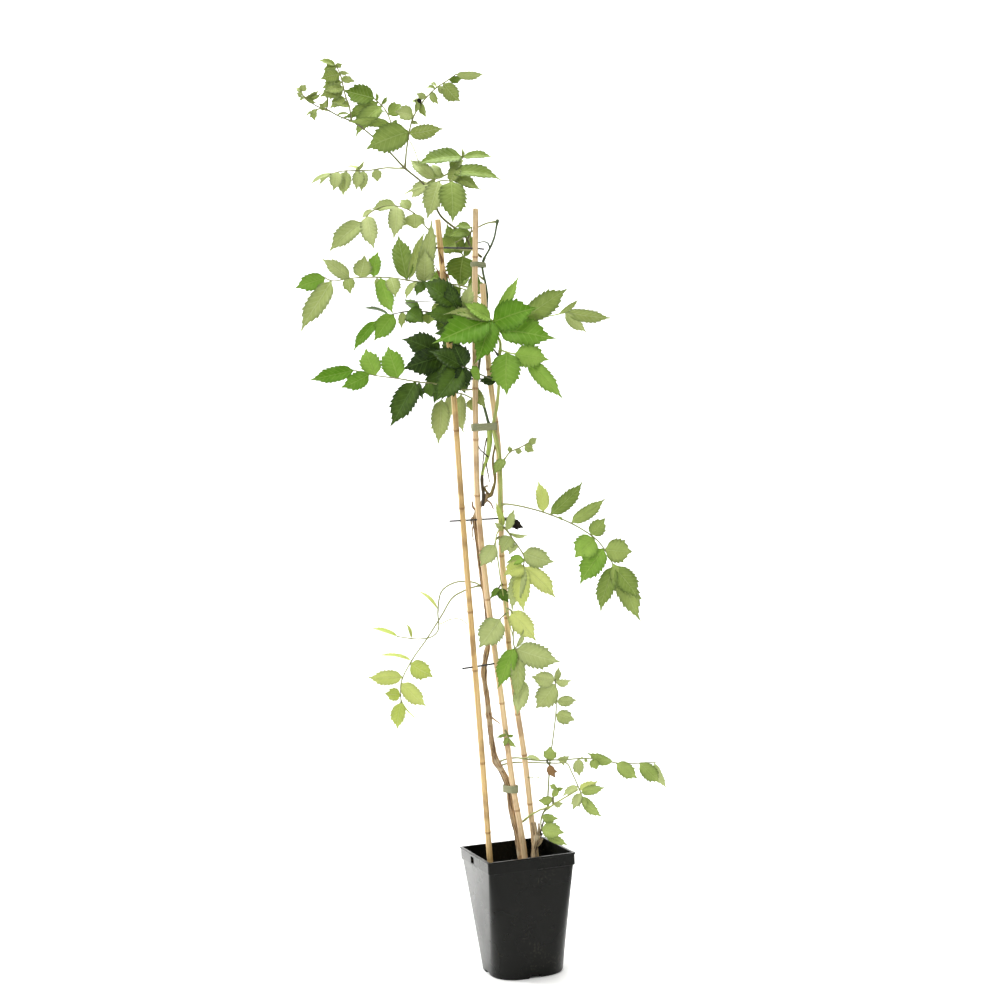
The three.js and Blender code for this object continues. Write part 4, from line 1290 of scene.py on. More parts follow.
@dataclass
class PlantStem:
    """A stem in one piece with the spurs and knots that grow on it."""

    name: str
    slot: str
    skins: tuple[Skin, ...]
    main: Branch
    spurs: tuple[Branch, ...] = ()
    rough: float = 0.06
    sides: int = 14
    spacing: float = 6
    spur_sides: int = 12
    spur_spacing: float = 3

    def build(self) -> None:
        """Builds the stem and its spurs."""
        shape = Shape()
        self.main.add(shape, self.rough, self.sides, self.spacing)
        for spur in self.spurs:
            spur.add(shape, self.rough, self.spur_sides, self.spur_spacing)
        stem = shape.build(self.name + "_growth", self.skins)
        settle(stem, self.name)


# ------------------------------------------------------------------ leaves


@dataclass(frozen=True)
class Station:
    """One row of points across a leaflet: its share of the length, its tooth's reach and lean."""

    along: float
    tooth: float = 0.0
    lean: float = 0.0


@dataclass
class Leaflet:
    """One toothed, folded and arched leaflet from its root to its tip.

    Its neck is a least width, a length and a power, and its drip tip a loss of width, a start and a
    length. A tooth's steps are shares of its pitch, reaches and leans. All lengths but the width,
    thickness and tooth pitch are shares of the leaflet's own.
    """

    root: Vector
    tip: Vector
    width: float
    roll: float
    tint: float
    seed: int
    fold: float = 0.32
    arch: float = 0.09
    thickness: float = 0.6
    across: tuple[float, ...] = (0.0, 0.34, 0.66, 0.87, 1.0)
    widest: float = 0.34
    powers: Pair = (0.55, 0.85)
    fullness: float = 1.16
    root_width: float = 0.05
    neck: Triple = (0.12, 0.08, 1.6)
    drip: Triple = (0.78, 0.64, 0.25)
    bite: float = 0.13
    tooth_pitch: float = 7.5
    most_teeth: int = 9
    toothed: Pair = (0.1, 0.92)
    tooth_steps: tuple[Point, ...] = ((0, -0.4, 0), (0.42, 0.35, 0.12), (0.8, 1.0, 0.34))
    last_tooth: float = 0.6
    last_notch: float = -0.2
    root_row: float = 0.05
    tip_row: float = 0.965
    cup: Pair = (1.12, 0.3)
    waves: Pair = (0, 6.3)
    bends: Pair = (0.7, 1.25)
    ripple: float = 0.06
    ripples: float = 1.6
    twist: float = 22
    untwisted: float = 0.25
    sway: float = 0.03
    hook: float = 0.06
    hook_span: Pair = (0.7, 0.3)
    least_map: float = 0.02
    # Where the rim colour, painted edge shade, starts to spread over the tip, and how far it reaches.
    tip_rim: Pair = (0.8, 0.15)

    def _half_width(self, along: float) -> float:
        """Measures half the width, without teeth.

        Args:
            along: Share of the length.

        Returns:
            Half the width there.
        """
        if not 0 < along < 1:
            return self.root_width * self.width / 2 if along <= 0 else 0.0
        (rise, fall), (least, neck, power), (loss, start, reach) = self.powers, self.neck, self.drip
        full = (along / self.widest) ** rise * ((1 - along) / (1 - self.widest)) ** fall
        base = least + (1 - least) * min(along / neck, 1.0) ** power
        drip = 1 - loss * min(max((along - start) / reach, 0.0), 1.0)
        return self.fullness * full * base * drip * self.width / 2

    def _stations(self, length: float) -> list[Station]:
        """Spaces the rows of points so that each tooth has three.

        Args:
            length: The leaflet's length in millimetres.

        Returns:
            The rows from the root to the tip.
        """
        first, last = self.toothed
        teeth = min(self.most_teeth, max(3, round(length / self.tooth_pitch)))
        step = (last - first) / teeth
        rows = [Station(0.0), Station(self.root_row)]
        for k in range(teeth):
            at = first + step * k
            size = 1.0 if k < teeth - 1 else self.last_tooth
            rows += [Station(at + step * on, reach * size, step * lean)
                     for on, reach, lean in self.tooth_steps]
        return rows + [Station(last, self.last_notch), Station(self.tip_row), Station(1.0)]

    def add(self, shape: Shape, slot: int) -> None:
        """Adds the leaflet's upper and lower surfaces to a shape, joined along the rim.

        Args:
            shape: The shape that takes the faces.
            slot: The finish's place on the piece.
        """
        axis = self.tip - self.root
        length = axis.length
        axis.normalize()
        face = Vector((0, -1, 0))
        face = (face - axis * face.dot(axis)).normalized()
        face.rotate(Matrix.Rotation(math.radians(self.roll), 3, axis))
        across = axis.cross(face)
        chance = random.Random(self.seed)
        wave, bend = chance.uniform(*self.waves), chance.uniform(*self.bends)
        sway = chance.uniform(-self.sway, self.sway)
        twist = math.radians(chance.uniform(-self.twist, self.twist))
        hook = chance.uniform(-self.hook, self.hook)
        (deep, ease), (start, reach) = self.cup, self.hook_span
        rows = self._stations(length)
        columns = [(-1, s) for s in reversed(self.across[1:])] + [(1, s) for s in self.across]
        index: dict[tuple[int, int, int], int] = {}
        for r, row in enumerate(rows):
            half, at_end = self._half_width(row.along), r in (0, len(rows) - 1)
            for c, (side, share) in enumerate(columns):
                out = half * share * (1 + self.bite * row.tooth * share**3)
                t = min(row.along + row.lean * share**2, 1.0)
                dome = 4 * self.arch * length * t * (1 - t)
                rise = self.fold * bend * out * (deep - ease * share**2) + dome
                rise += self.ripple * half * share**2 * math.sin(2 * math.pi * self.ripples * t + wave + side)
                drift = length * (sway * math.sin(math.pi * t) + hook * (max(t - start, 0.0) / reach) ** 2)
                turn = Matrix.Rotation(twist * (t - self.untwisted), 3, axis)
                place = self.root + axis * (t * length) + turn @ (across * (side * out + drift) + face * rise)
                if share == 1.0 or at_end:
                    index[r, c, 0] = index[r, c, 1] = len(shape.points)
                    shape.points.append(place)
                    continue
                for surface, sign in ((0, 1), (1, -1)):
                    index[r, c, surface] = len(shape.points)
                    shape.points.append(place + face * (sign * self.thickness / 2))
        self._skin(shape, slot, rows, columns, index)

    def _skin(self, shape: Shape, slot: int, rows: Sequence[Station], columns: Sequence[tuple[int, float]],
              index: dict[tuple[int, int, int], int]) -> None:
        """Lays faces over the leaflet's points.

        Args:
            shape: The shape that takes the faces.
            slot: The finish's place on the piece.
            rows: The rows from the root to the tip.
            columns: Side and share of the half width of each column.
            index: The point at each row, column and surface.
        """
        start, reach = self.tip_rim

        def spot(row: Station, side: int, share: float) -> Pair:
            """Place on the leaf map."""
            wide = max(self._half_width(row.along) * 2 / self.width, self.least_map)
            return row.along + row.lean * share**2, 0.5 + side * share * 0.5 * wide

        def rim(row: Station, share: float) -> float:
            """How much painted edge shade a corner takes, by how near the rim or the tip it is, from 0 to 1.
            """
            return max(share**4, min(max((row.along - start) / reach, 0.0), 1.0))

        spots = [[spot(row, side, share) for side, share in columns] for row in rows]
        rim_shades = [[rim(row, share) for _, share in columns] for row in rows]
        for r in range(len(rows) - 1):
            for c in range(len(columns) - 1):
                cells = ((r, c), (r, c + 1), (r + 1, c + 1), (r + 1, c))
                for surface in (0, 1):
                    kept: dict[int, tuple[int, int]] = {}
                    for cell in cells if surface else reversed(cells):
                        kept.setdefault(index[(*cell, surface)], cell)
                    if len(kept) >= 3:
                        # The third tint channel is the corner's share of painted edge shade at the rim and
                        # tip.
                        shape.face(tuple(kept), [spots[i][j] for i, j in kept.values()], slot,
                                   [(self.tint, float(surface), rim_shades[i][j]) for i, j in kept.values()])
            for c in (0, len(columns) - 1):
                shape.creases.append((index[r, c, 0], index[r + 1, c, 0]))


@dataclass
class Frond:
    """One leaf of the plant: a stalk with its leaflets, or a cluster of young leaflets.

    A leaflet is its share along the stalk, its tip's x, y and z, its width and its roll in degrees,
    with its own finish and tint where they are not the frond's. A low shade is pale.
    """

    name: str
    leaf: Leaf
    route: tuple[Point, ...]
    leaflets: tuple[tuple, ...]
    shade: float = 0.5
    twigs: tuple[tuple[Point, ...], ...] = ()
    foot: float = 3.0
    tip: float = 1.9
    foot_bump: Triple = (4, 0.7, 4)
    joint_bump: Pair = (0.35, 2)
    stalk_sides: int = 9
    twig_sides: int = 7
    twig_radius: float = 0.8
    spacing: float = 4
    root_share: float = 0.99
    root_lift: float = 0.4

    @property
    def stalk(self) -> Skin:
        """The finish of its stalk."""
        dark = self.leaf in (Leaf.DARK, Leaf.DEAD, Leaf.BROWN)
        return Skin.STALK_GREEN if self.leaf is Leaf.VIVID else Skin.STALK_DARK if dark else Skin.STALK_LIGHT

    @property
    def spread(self) -> float:
        """How far each leaflet's tint may be from the frond's shade."""
        return 0.42 if self.leaf is Leaf.DARK else 0.32

    def _stalk(self, shape: Shape, route: Route) -> None:
        """Adds the stalk, with a swelling where each leaflet joins it, and the bare twigs.

        Args:
            shape: The shape that takes the faces.
            route: The stalk's centre line.
        """
        joints = sorted({round(along * route.length, 1) for along, *_ in self.leaflets})
        bumps = [self.foot_bump, *((j, *self.joint_bump) for j in joints)]

        def radius(along: float, _: float) -> float:
            """Thin tapering radius, swollen at the foot and the joints."""
            return (self.foot + (self.tip - self.foot) * along / route.length) / 2 + swelling(along, bumps)

        shape.tube(route, radius, self.stalk_sides, self.spacing, slot=1)
        for points in self.twigs:
            shape.tube(Route(points), lambda *_: self.twig_radius, self.twig_sides, self.spacing, slot=1)

    def build(self) -> None:
        """Builds the stalk and every leaflet as one piece."""
        route, shape = Route(self.route), Shape()
        self._stalk(shape, route)
        finishes = [self.leaf, self.stalk]
        chance = random.Random(self.name)
        for along, x, y, z, width, roll, *own in self.leaflets:
            root, tip = route.at(along * self.root_share), Vector((x, y, z))
            root = root + (tip - root).normalized() * self.root_lift
            tint = min(max(self.shade + chance.uniform(-self.spread, self.spread), 0.0), 1.0)
            leaf = own[0] if own else self.leaf
            if leaf not in finishes:
                finishes.append(leaf)
            tint = own[1] if len(own) > 1 else tint
            leaflet = Leaflet(root, tip, width, roll, tint, chance.randrange(SEEDS))
            leaflet.add(shape, finishes.index(leaf))
        frond = shape.build(self.name + "_leaf", finishes)
        settle(frond, self.name)


# ------------------------------------------------------------------ the studio


@dataclass(frozen=True)
class StudioLight:
    """A light that faces a target, in metres and watts: a soft square, or a spot with a cone."""

    name: str
    place: Point
    target: Point
    size: float
    power: float
    cone: float = 0.0

    def add(self) -> None:
        """Adds the light to the scene."""
        data = bpy.data.lights.new(self.name, "SPOT" if self.cone else "AREA")
        data.energy = self.power
        if self.cone:
            data.spot_size, data.spot_blend, data.shadow_soft_size = math.radians(self.cone), 1.0, self.size
        else:
            data.shape, data.size = "SQUARE", self.size
        light = bpy.data.objects.new(self.name, data)
        light.location = self.place
        light.rotation_euler = (Vector(self.target) - Vector(self.place)).to_track_quat("-Z", "Y").to_euler()
        bpy.context.scene.collection.objects.link(light)


@dataclass
class Studio:
    """A pale floor that curves up into a backdrop, soft lights and the camera."""

    half_width: float = 2.6
    front: float = -2.4
    back: float = 2.4
    bend: float = 1.2
    bend_steps: int = 12
    height: float = 5.0
    sky: float = 0.38
    lights: tuple[StudioLight, ...] = (
        StudioLight("key", (-1.6, -3.0, 2.6), (0, 0, 0.8), 1.2, 60),
        StudioLight("fill", (2.8, -2.2, 1.6), (0, 0, 0.7), 2.0, 10),
        StudioLight("overhead", (0, 0.3, 3.4), (0, 0, 0), 2.4, 44),
        StudioLight("edge", (-2.4, 1.2, 1.0), (0, 0, 0.6), 1.4, 40),
        StudioLight("backdrop", (0, 0.9, 3.6), (0, 2.4, 1.0), 3.0, 150),
        StudioLight("floor_glow", (-2.2, 0.9, 1.2), (-0.45, 0.45, 0.0), 0.2, 500, 26),
    )
    camera_place: Point = (1.6, -2710, 766)
    camera_right: Point = (0.99872, 0, -0.0506)
    camera_up: Point = (0.0506, 0, 0.99872)
    camera_back: Point = (0, -1, 0)
    focal_share: float = 1.66
    sensor: float = 36

    def build(self) -> None:
        """Builds the floor, lights and camera."""
        self._floor()
        self._world()
        for light in self.lights:
            light.add()
        self._camera()

    def _floor(self) -> None:
        """Sweeps the floor up into the backdrop."""
        profile = [(self.front, 0.0), (self.back - self.bend, 0.0)]
        for k in range(1, self.bend_steps + 1):
            turn = math.pi / 2 * k / self.bend_steps
            profile.append((self.back - self.bend * (1 - math.sin(turn)), self.bend * (1 - math.cos(turn))))
        profile.append((self.back, self.height))
        points = [Vector((x, y, z)) for y, z in profile for x in (-self.half_width, self.half_width)]
        faces = [(2 * k, 2 * k + 1, 2 * k + 3, 2 * k + 2) for k in range(len(profile) - 1)]
        mesh = bpy.data.meshes.new("studio_floor")
        mesh.from_pydata(points, [], faces)
        mesh.shade_smooth()
        mesh.materials.append(Skin.FLOOR.value.material())
        floor = bpy.data.objects.new("studio_floor", mesh)
        bpy.context.scene.collection.objects.link(floor)

    def _world(self) -> None:
        """Lights everything evenly from a sky that itself looks white."""
        world = bpy.data.worlds.new("studio")
        world.use_nodes = True
        nodes = Nodes(world.node_tree)
        seen = nodes.add("LightPath").outputs["Is Camera Ray"]
        background = world.node_tree.nodes["Background"]
        nodes.fill(background, Color=(1, 1, 1), Strength=nodes.spread(seen, self.sky, 1.0))
        bpy.context.scene.world = world
        bpy.context.scene.view_settings.view_transform = "Standard"

    def _camera(self) -> None:
        """Places the camera at the height of the plant's middle, rolled a little."""
        data = bpy.data.cameras.new("camera")
        data.sensor_width, data.lens = self.sensor, self.sensor * self.focal_share
        camera = bpy.data.objects.new("camera", data)
        axes = Matrix((self.camera_right, self.camera_up, self.camera_back)).transposed()
        camera.matrix_world = Matrix.Translation(Vector(self.camera_place) * MM) @ axes.to_4x4()
        bpy.context.scene.collection.objects.link(camera)
        bpy.context.scene.camera = camera


# ------------------------------------------------------------------ the plant's own sizes


CANES = (
    Cane("cane_left", Skin.BAMBOO_GOLD, Skin.RING_GOLD, "bamboo_gold",
         ((-40, -28, 24), (-44, -28, 186), (-49, -28, 380), (-60, -28, 737), (-65, -28, 955),
          (-76, -28, 1223)),
         (238, 352, 484, 596, 751, 889, 1052, 1171)),
    Cane("cane_middle", Skin.BAMBOO_TAN, Skin.RING_TAN, "bamboo_tan",
         ((20, -8, 24), (11, -8, 203), (-1, -8, 303), (-12, -8, 437), (-20, -8, 529), (-26, -8, 598),
          (-33, -8, 714), (-35, -8, 776), (-33, -8, 859), (-29, -8, 960), (-22, -8, 1108), (-14, -8, 1241)),
         (262, 371, 437, 541, 603, 690, 776, 869, 951, 1073, 1162)),
    Cane("cane_right", Skin.BAMBOO_TAN, Skin.RING_TAN, "bamboo_tan",
         ((42, 4, 24), (28, 4, 224), (20, 4, 349), (12, 4, 423), (4, 4, 527), (2, 4, 619), (0, 4, 676),
          (2, 4, 755), (3, 4, 858), (-5, 4, 970), (-9, 4, 1120)),
         (270, 349, 417, 480, 533, 573, 628, 676, 748, 830, 893, 976, 1049)),
)

WIRES = (
    Wire("wire_low", ((-73, -39, 498), (-53, -28, 499), (-17, -8, 501), (5, 4, 503), (22, 13, 503))),
    Wire("wire_middle", ((-82, -36, 736), (-60, -28, 736), (-34, -8, 736), (2, 4, 736), (14, 8, 736))),
    Wire("wire_high", ((-76, -32, 966), (-65.3, -28, 966), (-29, -8, 965), (-5, 4, 964), (7, 10, 963))),
    Wire("wire_top", ((-88, -32, 1178), (-74, -28, 1178), (-18.6, -8, 1177), (-3, -2, 1176))),
)

TIES = (
    Tie("tie_low", (0.3, -8, 6), (-9.5, 4, 6.8), 295),
    Tie("tie_middle", (-32, -8, 5.8), (-2.2, -8, 3.8), 886, crumple=1.6),
    Tie("tie_top", (-19.3, -8, 5.8), (-7, 6.2, 3.8), 1151, 8, crumple=1.4),
)

STEMS = (
    PlantStem(
        "stem_woody", "bark", (Skin.BARK, Skin.STEM_BROWN),
        Branch(((8, 6, 106), (7, 5, 165), (3, 4.5, 215), (-5, 4.5, 258), (-8.5, 4.5, 296), (-19, 0, 327),
                (-27, -2, 342), (-31, -2, 366), (-34, -2, 410), (-36, -2, 447), (-39, -3, 486), (-34, 0, 513),
                (-30, 3, 530), (-29, 5, 565), (-31, 6, 610), (-36, 5, 650), (-39, 2, 695), (-41, 1, 738),
                (-36, 5, 752), (-26, 7, 764), (-17, 3, 777)),
               12, 5,
               ((338, 1.6, 9), (420, 0.8, 7), (486, 1.6, 8), (520, 1.2, 10), (628, 1.0, 7), (740, 1.8, 8),
                (754, 2.4, 6), (766, 2.0, 5), (776, 1.6, 4))),
        (Branch(((-36, -2, 420), (-28, -4, 411), (-16, -6, 402)), 3.4, 2),
         Branch(((-26, -2, 339), (-22, -8, 330), (-17, -12, 325)), 6, 4),
         Branch(((-38, 2, 742), (-46, 0, 738), (-47, 0, 728)), 4, 3),
         Branch(((-19, 4, 772), (-13, 0, 775), (-9, -3, 784), (-5, -4, 797), (-5, -4, 809), (-7, -4, 824),
                 (-6, -3, 837), (-3, -3, 850), (0, -3, 862)), 5, 3.6,
                ((776, 0.8, 4), (786, 0.7, 4), (812, 0.5, 5)), 1),
         Branch(((-17, 3, 777), (-21, -1, 783), (-22, -2, 789), (-17, -1, 790)), 4.6, 3, (), 1),
         Branch(((-36, 5, 750), (-43, 2, 756), (-44, 1, 766)), 4.5, 2.6),
         Branch(((-22, 5, 768), (-14, 3, 762), (-10, 1, 752)), 3.4, 2),
         Branch(((-40, 1, 734), (-46, -2, 720), (-45, -3, 702)), 2.6, 1.6)),
        rough=0.24, sides=18, spacing=3.5),
    # The rootstock's bark has painted highlight on its ridges and painted shade in its cracks, over its own
    # pale grain.
    PlantStem(
        "rootstock", "bark", (Skin.BARK_PALE, Skin.STEM_BURNT),
        Branch(((30, -13, 112), (27, -13, 166), (28, -13, 192), (31, -13, 205)), 8, 9, ((186, 0.8, 4),)),
        (Branch(((29, -13, 198), (32, -13, 208), (34, -13, 220)), 8, 12, ((205, 1.0, 3), (214, 0.8, 3))),
         Branch(((30, -12, 213), (28, -10, 227), (27, -10, 239)), 6, 4, ((224, 0.6, 3),)),
         Branch(((33, -15, 215), (33, -17, 230), (32, -17, 241)), 5, 3.4, ((228, 0.5, 3),)),
         Branch(((35, -13, 214), (38, -12, 227), (38, -12, 238)), 4.6, 3, ((229, 0.5, 3),)),
         Branch(((37, -12, 214), (42, -9, 228), (46, -8, 241)), 3.6, 2.4, (), 1),
         Branch(((35, -12, 211), (43, -9, 221)), 5, 4, (), 1),
         Branch(((31, -14, 200), (37, -15, 206), (42, -15, 214)), 4.8, 3.6, ((208, 0.6, 3),))),
        rough=0.3, sides=16, spacing=2.5),
    PlantStem(
        "stem_pruned", "stem_dark", (Skin.STEM_DARK, Skin.STALK_GREEN, Skin.STEM_BURNT),
        Branch(((-27, -1.6, 757), (-25, -1.2, 774), (-26, 0, 790), (-26, -1, 805), (-23, -2, 818),
                (-17, -2, 832), (-13, -3.5, 847), (-10.5, -5.5, 860), (-10, -8, 874), (-10, -8, 888),
                (-12.5, -8, 900), (-18, -2, 925), (-26, 4, 951), (-22, 8, 985), (-12, 14, 1040),
                (-4, 14, 1085), (-3, 13, 1112), (-8, 7, 1148), (-5, 5.2, 1160), (6, 4, 1178), (14, 3, 1195),
                (18, 2, 1211), (21, 2, 1224)),
               5.4, 3.4,
               ((774, 0.5, 3), (800, 0.6, 3), (842, 1.0, 12), (864, 2.2, 15), (882, 1.6, 9), (925, 0.9, 4),
                (968, 0.8, 4), (1036, 0.9, 4), (1100, 0.9, 4), (1160, 0.8, 4), (1221, 1.4, 4)),
               0, ((750, 808, 2), (808, 886, 1))),
        (Branch(((6, 4, 1177), (3, 0, 1186), (-5, -3, 1188), (-14, -5, 1186)), 2.8, 2),
         Branch(((-15, -8, 868), (-19, -9, 852), (-23, -6, 829), (-25, -3, 812)), 2.6, 1.8, (), 2),
         Branch(((-14, -5, 837), (-21, -9, 844), (-26, -10, 849), (-29, -10, 855)), 2.6, 1.8, (), 2),
         Branch(((-18, -3, 828), (-16, -4, 812), (-14, -3, 796)), 2.6, 1.8, (), 2)),
        rough=0.1, spacing=4),
    PlantStem(
        "shoot_green", "stem_green", (Skin.STEM_GREEN,),
        Branch(((1, -8.5, 716), (1, -7.5, 742), (2, -6.5, 766), (4, -6.5, 790), (4, -6.5, 815), (4, -7, 839),
                (0, -8, 864), (-3.2, -8, 886), (4, -8, 918), (10, -7, 961), (11, -7, 991), (15, -8, 1022),
                (9, -8, 1036), (6, -8, 1060)),
               7, 4.4, ((799, 0.5, 4), (862, 1.0, 14), (918, 0.6, 4), (1006, 0.9, 5), (1040, 0.8, 4))),
        (Branch(((0, -9, 722), (-8, -15, 706), (-6, -16, 660), (-2, -17, 620), (4, -18, 580), (11, -18, 545)),
                2.4, 1.8),),
        rough=0.05, sides=18),
    PlantStem(
        "shoot_top", "stem_green", (Skin.STEM_OLIVE,),
        Branch(((-8, 6, 1164), (-23, 2, 1178), (-35, 1, 1202), (-54, 0, 1217), (-73, 0, 1236), (-84, 0, 1268),
                (-95, 0, 1286), (-126, 0, 1315), (-152, 0, 1345), (-180, 0, 1373), (-202, 0, 1392),
                (-229, 0, 1405), (-247, 0, 1416), (-264, 0, 1423), (-282, 0, 1437)),
               4.2, 2,
               ((1204, 0.7, 4), (1280, 0.8, 5), (1315, 0.8, 5), (1345, 0.7, 4), (1396, 0.6, 4),
                (1416, 0.5, 3))),
        rough=0.05),
    PlantStem(
        "shoot_low", "stem_green", (Skin.STEM_GREEN,),
        Branch(((1, 4, 237), (9, 2, 238), (16, -1, 243), (23, -4, 249), (29, -6, 253), (36, -10, 257),
                (43, -15, 261), (51, -20, 263), (56, -23, 265), (72, -27, 275), (104, -32, 293)),
               3.4, 2.4, ((243, 0.6, 2), (263.5, 2.0, 2.6))),
        rough=0.05),
)

